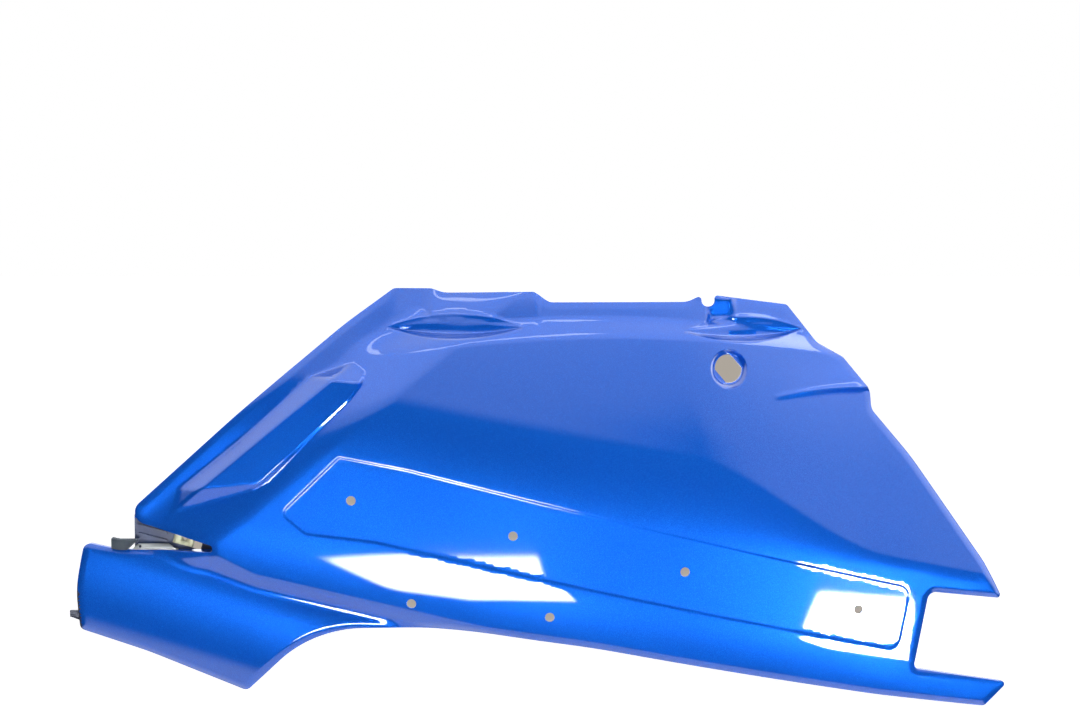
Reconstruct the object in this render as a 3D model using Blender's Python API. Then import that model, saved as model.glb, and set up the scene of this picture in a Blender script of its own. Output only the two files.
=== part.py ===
"""Rear side panel of a scooter: one moulded, painted cover, with the clips held in its slot.

+X runs to the rear, +Z up, and the outer face looks towards -Y. Sizes are in millimetres in the
panel's own side view (x, z), with depth measured inwards from the side plane. to_metres() moves
them to the scene, whose origin is on the back of the seat rail tab.
"""

import math
from typing import NamedTuple

import bmesh
import bpy
import numpy as np
from mathutils.geometry import delaunay_2d_cdt

MM = 0.001

# Moulding
WALL = 2.6
MOST_LEAN = 2.2  # the wall is measured squarely to the face up to this slant
MESH_SIZE = 16.0
EDGE_STEP = 13.0
ARC_STEP_DEG = 22.0
LINE_CLEARANCE = 1.2  # creases keep this far from edges and holes
GRID_FROM_LINES = 0.5 * MESH_SIZE
GRID_FROM_EDGES = 0.4 * MESH_SIZE
LEAST_RETURN = 0.5
SEAT_GAP = 0.3
CUT_PAST = 1.0

# Body form: a lower side, a body line that falls to the rear, and an upper side that leans in
BODY_LINE_Z = 119.5
BODY_LINE_FALL = 0.2213
LOW_LEAN = 0.05
HIGH_LEAN = 0.47
BEND_WIDTH_FRONT = 85.0
BEND_WIDTH_REAR = 14.0
BEND_FRONT_X = 520.0
BEND_REAR_X = 715.0
BEND_LEAD = 0.15
UPPER_CROWN_R = 1400.0
LOWER_CROWN_R = 170.0
LOWER_CROWN_START = 80.0
TAPER_X = 300.0
TAPER_R = 1500.0

# Front border, a flat strip along the slanting edge with a slope up to the body behind it
FRONT_LOW = (-23.5, 36.5)
FRONT_HIGH = (206.0, 225.0)
FRONT_DROP = 20.0
BORDER_WIDTH = 18.0
SLOPE_END = 88.0

# Scoop, a raised pad on that slope; along and across are measured from the front edge's foot
PAD = ((60.0, 34.0), (219.0, 33.0), (238.0, 52.0), (224.0, 58.0), (102.0, 67.0))
FLANK_SLOPES = (1.2, 1.0, 1.6, 1.2, 0.55)  # front, top, upper corner, rear and lower end
FLANK_REACH = 60.0
PAD_DEPTH = 0.5
PAD_TILT = 0.12
PAD_RISE = 0.05
PAD_EDGE_R = 1.6

# Shoulder, rail and pockets along the top; each bowed line is its crown's x and z and its radius
SHOULDER = (430.0, 186.5, 1350.0)
SHOULDER_SPAN = (200.0, 655.0)
RAIL_FOOT = (410.0, 210.5, 1250.0)
RAIL_FOOT_SPAN = (215.0, 625.0)
RAIL_STEP = 9.0
RAIL_START_X = 170.0
RAIL_FULL_X = 250.0
POCKET_DEPTH = 4.0
POCKET_WALL = 0.6
POCKET_SIDES = 22
POCKET_HALF_HEIGHT = 13.0
POCKETS = ((283.0, 199.0, 68.0), (574.0, 194.0, 64.0))
TOP_PAD_PROUD = 3.0
TOP_PAD_Z = 216.0
TOP_PAD_END_X = 366.0
TOP_PAD_BLEND = 8.0

# Brow over the tail
BROW_START_X = 601.0
BROW_END_X = 704.0
BROW_Z = 133.0
BROW_FLAT_X = 690.0
BROW_BOW_R = 500.0
BROW_CREASE_X = (609.0, 706.0)
BROW_HEIGHT = 7.5
BROW_GROWTH = 1.3
BROW_WALL = 4.5
BROW_FADE = 40.0

# Trim recess
RECESS = (
    (175.0, 80.0, 7.0),
    (240.0, 67.5, 150.0),
    (735.0, -57.5, 13.0),
    (721.0, -121.0, 13.0),
    (210.0, -4.0, 120.0),
    (143.0, 4.0, 14.0),
    (118.0, 25.0, 9.0),
)
RECESS_STEP = 1.4
RECESS_EDGE = 2.6
TRIM_HOLE_D = 9.0
TRIM_HOLES = ((187, 37), (341, 3), (506, -34), (679, -77), (244, -62), (376, -75))

# Lock cup
LOCK_X, LOCK_Z = 555.0, 156.5
LOCK_MOUTH_R = 19.0
LOCK_FLOOR_R = 15.5
LOCK_DEPTH = 7.0
LOCK_EDGE_R = 0.8
LOCK_HOLE_R = 13.8
LOCK_FLAT = 11.0
LOCK_TURN_DEG = 40.0

# Fold above the ear, and the ear itself
FOLD = ((-90.0, 9.0), (50.0, -10.5), (95.0, -35.5), (343.0, -94.0), (900.0, -260.0))
FOLD_LEAN = 0.42
FOLD_R = 3.0
FOLD_SPAN = (52.0, 440.0)
VALLEY_SPAN = (-19.0, 316.0)
VALLEY_REACH = 60.0
EAR_LINE = (-73.0, -18.0)
EAR_FALL_DEG = 18.5
EAR_DEPTH = 10.0
EAR_DEPTH_X = -10.0
EAR_FLARE = -0.02
EAR_R = 160.0
EAR_TOP_R = 70.0
VALLEY_R = 6.0

# Flat seats on the rail: centre x, centre z, half width, half height
TAB_SEAT = (551.0, 216.0, 6.5, 6.5)
TONGUE_SEAT = (238.0, 226.0, 10.0, 6.0)
SEAT_BLEND = 11.0

# Edges
ROLL_WIDTH = 8.0


class Corner(NamedTuple):
    """A corner of the side view, with its fillet, the depth of its return and how far it rolls in."""

    x: float
    z: float
    radius: float
    back: float
    roll: float


EAR_X = -80.0
TAIL_X = 839.5
FOOT_Z = -184.5
TOP_Z = 237.2
SLOT_LIP = 4.5
SLOT_END_X = 54.5
SLOT_TOP = ((-35.2, 17.4), (SLOT_END_X, -6.5))
RIM = ((-71.0, -5.3), (-37.0, -12.4), (SLOT_END_X, -12.8))

OUTLINE = (
    Corner(*SLOT_TOP[0], 12.0, 7.0, 1.5),
    Corner(*SLOT_TOP[1], 3.1, SLOT_LIP, 1.0),
    Corner(*RIM[2], 3.1, SLOT_LIP, 1.5),
    Corner(*RIM[1], 10.0, 7.0, 2.0),
    Corner(*RIM[0], 7.0, 8.0, 3.0),
    Corner(EAR_X + 0.5, -50.0, 150.0, 8.0, 1.0),
    Corner(EAR_X, -92.4, 6.0, 8.0, 2.5),
    Corner(-12.6, -114.7, 300.0, 8.0, 3.0),
    Corner(81.5, -153.5, 7.0, 8.0, 3.0),
    Corner(149.0, -88.0, 150.0, 9.0, 3.0),
    Corner(290.0, -88.5, 600.0, 9.0, 2.5),
    Corner(420.0, -107.5, 900.0, 9.0, 3.5),
    Corner(699.0, -164.0, 900.0, 9.0, 3.5),
    Corner(TAIL_X - 24.5, FOOT_Z, 5.0, 8.0, 3.5),
    Corner(TAIL_X, FOOT_Z + 23.5, 3.3, 7.0, 2.0),
    Corner(737.0, -139.5, 6.0, 9.0, 3.0),
    Corner(754.0, -64.5, 8.0, 12.0, 5.0),
    Corner(TAIL_X - 5.5, -76.5, 3.3, 12.0, 5.0),
    Corner(TAIL_X - 24.5, -39.0, 90.0, 10.0, 4.5),
    Corner(744.0, 66.0, 300.0, 10.0, 4.5),
    Corner(705.0, 113.0, 12.0, 9.0, 3.0),
    Corner(705.0, 131.0, 9.0, 9.0, 2.5),
    Corner(678.0, 165.5, 14.0, 6.0, 2.0),
    Corner(652.0, 180.0, 10.0, 5.0, 1.5),
    Corner(622.0, 219.0, 6.0, 4.5, 1.0),
    Corner(544.2, 229.2, 3.3, 4.5, 0.0),
    Corner(544.2, 217.8, 6.4, 4.5, 0.0),
    Corner(531.0, 217.8, 6.4, 4.5, 0.0),
    Corner(531.0, 229.2, 3.3, 4.5, 0.0),
    Corner(516.0, 222.5, 25.0, 4.5, 1.0),
    Corner(376.0, 223.0, 12.0, 4.5, 1.0),
    Corner(361.0, 233.5, 7.0, 4.5, 1.0),
    Corner(271.0, 232.5, 20.0, 4.5, 1.0),
    Corner(258.0, TOP_Z - 0.4, 8.0, 4.5, 0.5),
    Corner(221.0, TOP_Z, 9.0, 4.5, 0.5),
    Corner(174.0, 202.0, 400.0, 7.0, 1.5),
    Corner(75.0, 117.0, 900.0, 7.0, 1.5),
)

HEEL = OUTLINE[6:9]
BOTTOM = OUTLINE[9:14]

# Bracket behind the slot, and what it holds
BRACKET_DEPTH = 22.0
BRACKET_WALL = 2.4
BRACKET_FRONT_X = -24.0
BRACKET_REAR_X = 60.0
BRACKET_OVERLAP = 5.0
SHELF_FRONT_X = -45.0
SHELF_DROP = 0.2
RIB_WIDTH = 2.4
TRACK_HEIGHT = 2.0
TRACK_DROPS = (3.0, 11.0)
TRACK_SPAN = (-20.0, 8.0)
NUT_X, NUT_Z = 24.0, -3.0
NUT_LENGTH = 20.0
NUT_WIDTH = 12.0
NUT_SHEET = 1.0
NUT_HOLE_R = 2.6
NUT_BARREL_R = 4.6
NUT_BARREL_LENGTH = 5.0
NUT_CLEARANCE = 0.8
WINDOW_LENGTH = 9.0
BUFFER_FOOT = (-44.0, -29.0)
BUFFER_OVERHANG = 10.0
BUFFER_HEIGHT = 10.0
BUFFER_DEPTHS = (10.0, 20.0)
BUFFER_CHAMFER = 1.2
SPRING_FOOT = (-25.5, 19.0)
SPRING_NARROWING = (1.2, 1.6)  # at its front and rear ends, for each unit of height
SPRING_NEAR = 10.0
SPRING_SHEET = 0.9
SPRING_FOOT_DEPTH = 9.0
SPRING_LEAF = 8.0
SPRING_LEAN_DEG = 45.0
SPRING_HOLE_R = 1.3
SPRING_HOLE_X = -17.0
SPRING_HOLE_UP = 3.4

# Locating features on the back
HOOK_ROOT_X = EAR_X + 5.5
HOOK_REACH = 14.0
HOOK_Z = (-84.5, -73.5)
HOOK_SLANT = 5.0
HOOK_THICK = 3.5
HOOK_SET_BACK = 3.0
PEG_R = 5.0
PEG_CHAMFER = (1.0, 2.0)
PEG_LENGTH = 16.0
PEG_SIDES = 16
PEGS = ((250.0, 130.0), (470.0, 110.0), (690.0, 10.0))
PEG_WEB = 9.0
LOWER_RIB_HEIGHT = 9.0
LOWER_RIB_RISE = 16.0
LOWER_RIB_SPAN = (215.0, 690.0)
EAR_RIBS_X = (-30.0, 20.0, 62.0)
EAR_RIB_HEIGHT = 8.0
EAR_RIB_FROM_EDGES = 12.0


def smooth(t):
    t = np.clip(t, 0.0, 1.0)
    return t * t * (3 - 2 * t)


def bend(t, width):
    """Slope 0 before t = 0, rising to slope 1 over the width."""
    t = np.asarray(t, float)
    return np.where(t <= 0, 0.0, np.where(t >= width, t - width / 2, t * t / (2 * width)))


def nearer(a, b, radius):
    """The depth closer to the eye, with a fillet where the two meet."""
    return np.minimum(a, b) - np.maximum(radius - np.abs(a - b), 0) ** 2 / (4 * radius)


def deeper(a, b, radius):
    return -nearer(-a, -b, radius)


def filleted(corners, spacing):
    """Points along a closed outline of (x, z, radius, ...) corners, each with its other values."""
    points = []
    count = len(corners)
    for i, here in enumerate(corners):
        p = np.array(here[:2], float)
        before = np.array(corners[i - 1][:2], float) - p
        after = np.array(corners[(i + 1) % count][:2], float) - p
        before_length, after_length = np.hypot(*before), np.hypot(*after)
        u, v = before / before_length, after / after_length
        half = math.acos(max(-1.0, min(1.0, float(u @ v)))) / 2
        reach = min(here[2] / math.tan(half), 0.499 * before_length, 0.499 * after_length)
        radius = reach * math.tan(half)
        start, end = p + u * reach, p + v * reach
        turn = math.pi - 2 * half
        steps = max(1, round(turn / math.radians(ARC_STEP_DEG)), round(turn * radius / spacing))
        middle = p + (u + v) / np.hypot(*(u + v)) * radius / math.sin(half)
        a, b = start - middle, end - middle
        sweep = math.atan2(a[0] * b[1] - a[1] * b[0], a @ b)
        for k in range(steps + 1):
            angle = sweep * k / steps
            c, s = math.cos(angle), math.sin(angle)
            arc_point = middle + (a[0] * c - a[1] * s, a[0] * s + a[1] * c)
            points.append((*arc_point, *here[3:]))
    return spaced(points, spacing)


def spaced(points, spacing):
    """The closed loop with its long sides divided, the corners' other values running evenly between."""
    loop = []
    for here, following in zip(points, points[1:] + points[:1]):
        a, b = np.array(here, float), np.array(following, float)
        pieces = max(1, math.ceil(np.hypot(*(b - a)[:2]) / spacing - 0.01))
        loop += [a + (b - a) * k / pieces for k in range(pieces)]
    return np.array(loop)


def height_on(x, corners):
    """Height at x of the line through some (x, z) corners."""
    return np.interp(x, [c[0] for c in corners], [c[1] for c in corners])


def bowed(x, line):
    """Height at x of a bowed line, given by its crown and radius."""
    crown_x, crown_z, radius = line
    return crown_z - (x - crown_x) ** 2 / (2 * radius)


def to_loop(x, z, loop):
    """Distance from each point to a closed loop, and the loop's other values at the nearest place."""
    x, z = np.atleast_1d(np.asarray(x, float)), np.atleast_1d(np.asarray(z, float))
    nearest = np.full(x.shape, np.inf)
    values = np.zeros(x.shape + (loop.shape[1] - 2,))
    for a, b in zip(loop, np.roll(loop, -1, axis=0)):
        side = b[:2] - a[:2]
        t = ((x - a[0]) * side[0] + (z - a[1]) * side[1]) / (side @ side)
        t = np.clip(t, 0, 1)
        distance = np.hypot(x - a[0] - t * side[0], z - a[1] - t * side[1])
        closer = distance < nearest
        nearest = np.where(closer, distance, nearest)
        values[closer] = a[2:] + t[closer, None] * (b[2:] - a[2:])
    return nearest, values


def inside(x, z, loop):
    x, z = np.atleast_1d(np.asarray(x, float)), np.atleast_1d(np.asarray(z, float))
    odd = np.zeros(x.shape, bool)
    for a, b in zip(loop, np.roll(loop, -1, axis=0)):
        crosses = (a[1] > z) != (b[1] > z)
        with np.errstate(divide="ignore", invalid="ignore"):
            at = a[0] + (z - a[1]) * (b[0] - a[0]) / (b[1] - a[1])
        odd ^= crosses & (x < at)
    return odd


def below_fold(x, z):
    """Height of the fold above each point, square to the fold."""
    xs, zs = np.array(FOLD).T
    slope = np.interp(x, (xs[1:] + xs[:-1]) / 2, np.diff(zs) / np.diff(xs))
    return (np.interp(x, xs, zs) - z) / np.hypot(1, slope)


def front_frame():
    """The foot of the slanting front edge, and unit vectors along it and across it to the rear."""
    foot, head = np.array(FRONT_LOW), np.array(FRONT_HIGH)
    along = (head - foot) / np.hypot(*(head - foot))
    return foot, along, np.array((along[1], -along[0]))


def front_axes(x, z):
    foot, along, across = front_frame()
    dx, dz = x - foot[0], z - foot[1]
    return dx * along[0] + dz * along[1], dx * across[0] + dz * across[1]


def from_front(points):
    """Side-view places of points given along and across the front edge."""
    foot, along, across = front_frame()
    points = np.asarray(points, float)
    return foot + points[:, :1] * along + points[:, 1:] * across


def body(x, z):
    h = z - (BODY_LINE_Z - BODY_LINE_FALL * x)
    width = BEND_WIDTH_FRONT + (BEND_WIDTH_REAR - BEND_WIDTH_FRONT) * smooth(
        (x - BEND_FRONT_X) / (BEND_REAR_X - BEND_FRONT_X)
    )
    y = LOW_LEAN * h + (HIGH_LEAN - LOW_LEAN) * bend(h + BEND_LEAD * width, width)
    y = y + np.maximum(h - BEND_WIDTH_FRONT, 0) ** 2 / (2 * UPPER_CROWN_R)
    y = y + np.maximum(-LOWER_CROWN_START - h, 0) ** 2 / (2 * LOWER_CROWN_R)
    y = y + np.maximum(x - TAPER_X, 0) ** 2 / (2 * TAPER_R)
    across = front_axes(x, z)[1]
    return y + FRONT_DROP * (1 - smooth((across - BORDER_WIDTH) / (SLOPE_END - BORDER_WIDTH)))


def beyond(along, across, start, end):
    """Distance outside the line from start to end, which runs with the pad on its right."""
    sx, sy = end[0] - start[0], end[1] - start[1]
    return ((across - start[1]) * sx - (along - start[0]) * sy) / math.hypot(sx, sy)


def scoop(x, z):
    along, across = front_axes(x, z)
    y = PAD_DEPTH - PAD_TILT * (across - PAD[0][1]) + PAD_RISE * (along - PAD[0][0])
    for start, end, slope in zip(PAD, PAD[1:] + PAD[:1], FLANK_SLOPES):
        outside = -beyond(along, across, start, end)
        y = y + slope * bend(outside + PAD_EDGE_R, 2 * PAD_EDGE_R)
    return y


def brow_line(x):
    return BROW_Z - np.maximum(BROW_FLAT_X - x, 0) ** 2 / (2 * BROW_BOW_R)


def brow(x, z):
    above = z - brow_line(x)
    grown = np.clip((x - BROW_START_X) / (BROW_END_X - BROW_START_X), 0, 1)
    height = BROW_HEIGHT * grown**BROW_GROWTH
    return height * smooth(above / BROW_WALL + 0.5) * (1 - smooth(above / BROW_FADE))


def rail(x, z):
    shoulder, foot = bowed(x, SHOULDER), bowed(x, RAIL_FOOT)
    grown = smooth((x - RAIL_START_X) / (RAIL_FULL_X - RAIL_START_X))
    y = RAIL_STEP * grown * smooth((z - shoulder) / (foot - shoulder))
    for px, pz, half_length in POCKETS:
        q = ((x - px) / half_length) ** 2 + ((z - pz) / POCKET_HALF_HEIGHT) ** 2
        y = y + POCKET_DEPTH * smooth((1 - q) / POCKET_WALL)
    proud = smooth((TOP_PAD_END_X - x) / TOP_PAD_BLEND + 0.5)
    proud = proud * smooth((z - TOP_PAD_Z) / TOP_PAD_BLEND + 0.5)
    return y - TOP_PAD_PROUD * grown * proud


def ear(x, z):
    fall = math.radians(EAR_FALL_DEG)
    down = -(x - EAR_LINE[0]) * math.sin(fall) - (z - EAR_LINE[1]) * math.cos(fall)
    y = EAR_DEPTH + EAR_FLARE * (x - EAR_DEPTH_X)
    return y + np.maximum(down, 0) ** 2 / (2 * EAR_R) + np.maximum(-down, 0) ** 2 / (2 * EAR_TOP_R)


def side(x, z):
    """The body with its rail and brow, before the scoop and the fold."""
    return body(x, z) + rail(x, z) - brow(x, z)


def folded(x, z):
    panel = nearer(side(x, z), scoop(x, z), PAD_EDGE_R)
    return panel + FOLD_LEAN * bend(below_fold(x, z) + FOLD_R, 2 * FOLD_R)


def plain_form(x, z):
    """The outer face before its recesses, cup, edges and seats."""
    return nearer(folded(x, z), ear(x, z), VALLEY_R)


def counter_clockwise(loop):
    x, z = loop[:, 0], loop[:, 1]
    twice_area = (x * np.roll(z, -1) - z * np.roll(x, -1)).sum()
    return loop if twice_area > 0 else loop[::-1]


EDGE = counter_clockwise(filleted(OUTLINE, EDGE_STEP))
RECESS_LOOP = counter_clockwise(filleted(RECESS, EDGE_STEP))


def tangent_plane(x, z):
    """A place on the plain form, its depth there and its slopes along x and z."""
    fx = float(plain_form(x + 1, z) - plain_form(x - 1, z)) / 2
    fz = float(plain_form(x, z + 1) - plain_form(x, z - 1)) / 2
    return x, z, float(plain_form(x, z)), fx, fz


def plane_depth(plane, x, z):
    at_x, at_z, depth, fx, fz = plane
    return depth + fx * (x - at_x) + fz * (z - at_z)


TAB_DEPTH = float(plain_form(TAB_SEAT[0], TAB_SEAT[1]))
TAB_PLANE = (TAB_SEAT[0], TAB_SEAT[1], TAB_DEPTH, 0.0, 0.0)
TONGUE_PLANE = tangent_plane(TONGUE_SEAT[0], TONGUE_SEAT[1])
LOCK_PLANE = tangent_plane(LOCK_X, LOCK_Z)
ORIGIN = (TAB_SEAT[0], TAB_DEPTH + WALL, TAB_SEAT[1])


def outer_depth(x, z):
    """Depth of the outer face behind the side plane."""
    shape = np.shape(x)
    x, z = np.ravel(np.asarray(x, float)), np.ravel(np.asarray(z, float))
    y = plain_form(x, z)
    distance, _ = to_loop(x, z, RECESS_LOOP)
    y = y + RECESS_STEP * smooth(np.where(inside(x, z, RECESS_LOOP), distance, 0) / RECESS_EDGE)
    distance, values = to_loop(x, z, EDGE)
    y = y + values[:, 1] * (1 - np.minimum(distance / ROLL_WIDTH, 1)) ** 2
    from_lock = np.hypot(x - LOCK_X, z - LOCK_Z)
    cup = plane_depth(LOCK_PLANE, x, z) + LOCK_DEPTH
    cone_slope = LOCK_DEPTH / (LOCK_MOUTH_R - LOCK_FLOOR_R)
    y = deeper(y, cup - cone_slope * np.maximum(from_lock - LOCK_FLOOR_R, 0), LOCK_EDGE_R)
    y = np.where(from_lock < LOCK_FLOOR_R, cup, y)
    for (sx, sz, half_x, half_z), plane in ((TAB_SEAT, TAB_PLANE), (TONGUE_SEAT, TONGUE_PLANE)):
        away = np.maximum(np.maximum(np.abs(x - sx) - half_x, np.abs(z - sz) - half_z), 0)
        y = y + (plane_depth(plane, x, z) - y) * (1 - smooth(away / SEAT_BLEND))
    return y.reshape(shape)


def wall_depth(x, z, share=1.0):
    """Depth of the inner face, or of a place partway through the wall."""
    step = 0.5
    x, z = np.asarray(x, float), np.asarray(z, float)
    fx = (outer_depth(x + step, z) - outer_depth(x - step, z)) / (2 * step)
    fz = (outer_depth(x, z + step) - outer_depth(x, z - step)) / (2 * step)
    lean = np.minimum(np.sqrt(1 + fx * fx + fz * fz), MOST_LEAN)
    return outer_depth(x, z) + share * WALL * lean


def to_metres(x, y, z):
    return (x - ORIGIN[0]) * MM, (y - ORIGIN[1]) * MM, (z - ORIGIN[2]) * MM


def inset(loop, distance):
    """The loop moved inwards; the outline runs with its inside on the left."""
    points = loop[:, :2]
    ahead = np.roll(points, -1, axis=0) - points
    ahead /= np.hypot(*ahead.T)[:, None]
    left = np.stack([-ahead[:, 1], ahead[:, 0]], 1)
    before = np.roll(left, 1, axis=0)
    middle = left + before
    middle /= np.hypot(*middle.T)[:, None]
    stretch = np.maximum((middle * left).sum(1), 0.5)
    return points + middle * (distance / stretch)[:, None]


def ring(x, z, radius, sides, turn=0.0):
    angles = turn + 2 * math.pi * np.arange(sides) / sides
    return np.stack([x + radius * np.cos(angles), z + radius * np.sin(angles)], 1)


def lock_hole():
    """A round hole with two flats, which keep the lock from turning."""
    reach = math.acos(LOCK_FLAT / LOCK_HOLE_R)
    angles = np.linspace(reach, math.pi - reach, 7)
    arc = LOCK_HOLE_R * np.stack([np.cos(angles), np.sin(angles)], 1)
    shape = np.concatenate([arc, -arc])
    turn = math.radians(LOCK_TURN_DEG)
    c, s = math.cos(turn), math.sin(turn)
    return shape @ np.array([(c, s), (-s, c)]) + (LOCK_X, LOCK_Z)


def across_span(span, height, spacing=EDGE_STEP):
    """Points along a line that is given by its height at each x."""
    xs = np.linspace(*span, math.ceil((span[1] - span[0]) / spacing) + 1)
    return np.stack([xs, height(xs)], 1)


def meeting(starts, ways, reach, gap):
    """Where the gap first turns positive on the way out from each start."""
    out = np.arange(0.0, reach, 0.5)[:, None]
    found = []
    for start, way in zip(starts, ways):
        places = start + out * way
        past = gap(*places.T) > 0
        if past.any():
            found.append(places[past.argmax()])
    return np.array(found)


def pad_lines():
    """The rounded edge of the scoop's pad, and the foot of its flanks."""
    corners = np.array(PAD)
    middle = corners.mean(axis=0)
    lines = []
    for grow in (-PAD_EDGE_R, PAD_EDGE_R):
        grown = corners + np.sign(corners - middle) * grow
        lines.append(from_front(spaced([tuple(c) for c in grown], EDGE_STEP)))
    centre = from_front([middle])[0]
    ways = lines[1] - centre
    ways /= np.hypot(*ways.T)[:, None]
    lines.append(meeting(lines[1], ways, FLANK_REACH, lambda x, z: scoop(x, z) - side(x, z)))
    return lines


def valley_line():
    """The foot of the fold, where the ear begins."""
    starts = across_span(VALLEY_SPAN, lambda x: height_on(x, FOLD) - FOLD_R)
    ways = np.tile((0.0, -1.0), (len(starts), 1))
    return meeting(starts, ways, VALLEY_REACH, lambda x, z: folded(x, z) - ear(x, z))


def seat_box(seat, grow):
    x, z, half_x, half_z = seat
    reach_x, reach_z = half_x + grow, half_z + grow
    signs = ((-1, -1), (1, -1), (1, 1), (-1, 1))
    return spaced([(x + sx * reach_x, z + sz * reach_z) for sx, sz in signs], EDGE_STEP)


def pocket_ring(pocket, share):
    """A ring round a pocket, where its wall starts (a share of 1) or ends."""
    px, pz, half_length = pocket
    angles = 2 * math.pi * np.arange(POCKET_SIDES) / POCKET_SIDES
    reach = math.sqrt(share)
    xs = px + reach * half_length * np.cos(angles)
    return np.stack([xs, pz + reach * POCKET_HALF_HEIGHT * np.sin(angles)], 1)


def creases():
    """Lines on the face that its mesh follows: those that close, and those that don't."""
    closed = [inset(RECESS_LOOP, distance) for distance in (0.1 * RECESS_EDGE, 1.1 * RECESS_EDGE)]
    closed += pad_lines()
    closed += [ring(LOCK_X, LOCK_Z, radius, 24) for radius in (LOCK_FLOOR_R, LOCK_MOUTH_R)]
    closed += [seat_box(seat, grow) for seat in (TAB_SEAT, TONGUE_SEAT) for grow in (0.0, SEAT_BLEND)]
    closed += [pocket_ring(pocket, share) for pocket in POCKETS for share in (1.0, 1 - POCKET_WALL)]
    opened = [valley_line()]
    opened.append(across_span(SHOULDER_SPAN, lambda x: bowed(x, SHOULDER)))
    opened.append(across_span(RAIL_FOOT_SPAN, lambda x: bowed(x, RAIL_FOOT)))
    for offset in (-BROW_WALL / 2, BROW_WALL / 2):
        opened.append(across_span(BROW_CREASE_X, lambda x: brow_line(x) + offset))
    for offset in (FOLD_R, -FOLD_R):
        opened.append(across_span(FOLD_SPAN, lambda x: height_on(x, FOLD) + offset))
    return closed, opened


def triangulated(boundary, holes):
    """A flat mesh of the side view: its points, its triangles, and where each loop's points went."""
    loops = [boundary, *holes]
    points, edges = [], []
    for loop in loops:
        first = len(points)
        points += [tuple(p) for p in loop]
        edges += [(first + i, first + (i + 1) % len(loop)) for i in range(len(loop))]

    def clear(p, gap):
        """Whether points lie inside the face and off its edges."""
        good = inside(p[:, 0], p[:, 1], boundary)
        for hole in holes:
            good &= ~inside(p[:, 0], p[:, 1], hole)
        for loop in loops:
            good &= to_loop(p[:, 0], p[:, 1], loop)[0] > gap
        return good

    closed, opened = creases()
    for line, links in [(c, len(c)) for c in closed] + [(o, len(o) - 1) for o in opened]:
        index = {}
        for i in np.nonzero(clear(line, LINE_CLEARANCE))[0]:
            index[i] = len(points)
            points.append(tuple(line[i]))
        for i in range(links):
            j = (i + 1) % len(line)
            if i in index and j in index:
                edges.append((index[i], index[j]))

    low, high = EDGE[:, :2].min(axis=0), EDGE[:, :2].max(axis=0)
    row_height = MESH_SIZE * math.sqrt(3) / 2
    grid = []
    for row in range(int((high[1] - low[1]) / row_height) + 1):
        shift = MESH_SIZE / 2 * (row % 2)
        for column in range(int((high[0] - low[0]) / MESH_SIZE) + 1):
            grid.append((low[0] + shift + column * MESH_SIZE, low[1] + row * row_height))
    grid = np.array(grid)
    grid = grid[clear(grid, GRID_FROM_EDGES)]
    taken = np.array(points)
    gaps = np.array([np.hypot(*(taken - p).T).min() for p in grid])
    points += [tuple(p) for p in grid[gaps > GRID_FROM_LINES]]

    flat, _, faces, came_from, _, _ = delaunay_2d_cdt(points, edges, [], 1, 1e-4)
    flat = np.array([tuple(p) for p in flat])
    place = {old: new for new, olds in enumerate(came_from) for old in olds}
    faces = np.array([tuple(f) for f in faces])
    middles = flat[faces].mean(axis=1)
    keep = np.ones(len(faces), bool)
    for hole in holes:
        keep &= ~inside(middles[:, 0], middles[:, 1], hole)
    numbered, start = [], 0
    for loop in loops:
        numbered.append([place[start + i] for i in range(len(loop))])
        start += len(loop)
    return flat, faces[keep], numbered


def closed_mesh(name, points, faces):
    """A mesh of triangles that face outwards, from points in the panel's own millimetres."""
    mesh = bpy.data.meshes.new(name)
    mesh.from_pydata([to_metres(*p) for p in points], [], faces)
    mesh.validate()
    bm = bmesh.new()
    bm.from_mesh(mesh)
    bmesh.ops.triangulate(bm, faces=bm.faces)
    bmesh.ops.recalc_face_normals(bm, faces=bm.faces)
    bm.to_mesh(mesh)
    bm.free()
    return mesh


def shell():
    """Outer and inner faces, with return walls along the edges and walls in the holes."""
    holes = [ring(x, z, TRIM_HOLE_D / 2, 12) for x, z in TRIM_HOLES] + [lock_hole()]
    edge, edge_inner = EDGE[:, :2], inset(EDGE, WALL)
    outer, outer_faces, outer_loops = triangulated(edge, holes)
    inner, inner_faces, inner_loops = triangulated(edge_inner, holes)
    points = [(x, y, z) for (x, z), y in zip(outer, outer_depth(*outer.T))]
    first_inner = len(points)
    points += [(x, y, z) for (x, z), y in zip(inner, wall_depth(*inner.T))]
    faces = [tuple(int(i) for i in f) for f in outer_faces]
    faces += [tuple(first_inner + int(i) for i in reversed(f)) for f in inner_faces]
    outer_rims = outer_loops
    inner_rims = [[first_inner + i for i in loop] for loop in inner_loops]

    backs = []
    for back, o, i in zip(EDGE[:, 2], outer_rims[0], inner_rims[0]):
        backs.append(max(points[o][1] + back, points[i][1] + LEAST_RETURN))
    back_rims = []
    for loop in (edge, edge_inner):
        back_rims.append(range(len(points), len(points) + len(loop)))
        points += [(x, y, z) for (x, z), y in zip(loop, backs)]

    joins = list(zip(outer_rims[1:], inner_rims[1:]))
    joins += [(outer_rims[0], back_rims[0]), (back_rims[0], back_rims[1]), (back_rims[1], inner_rims[0])]
    for near, far in joins:
        for a in range(len(near)):
            b = (a + 1) % len(near)
            faces.append((near[b], near[a], far[a], far[b]))
    return closed_mesh("side_panel", points, faces)


def lofted(name, rings):
    """A solid through rings of equally many (x, depth, z) points, capped at both ends."""
    count = len(rings[0])
    points = [tuple(p) for points_round in rings for p in points_round]
    last = len(points) - count
    faces = [tuple(range(count)), tuple(range(last, last + count))]
    for first in range(0, last, count):
        for i in range(count):
            j = (i + 1) % count
            faces.append((first + i, first + j, first + count + j, first + count + i))
    return closed_mesh(name, points, faces)


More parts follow.
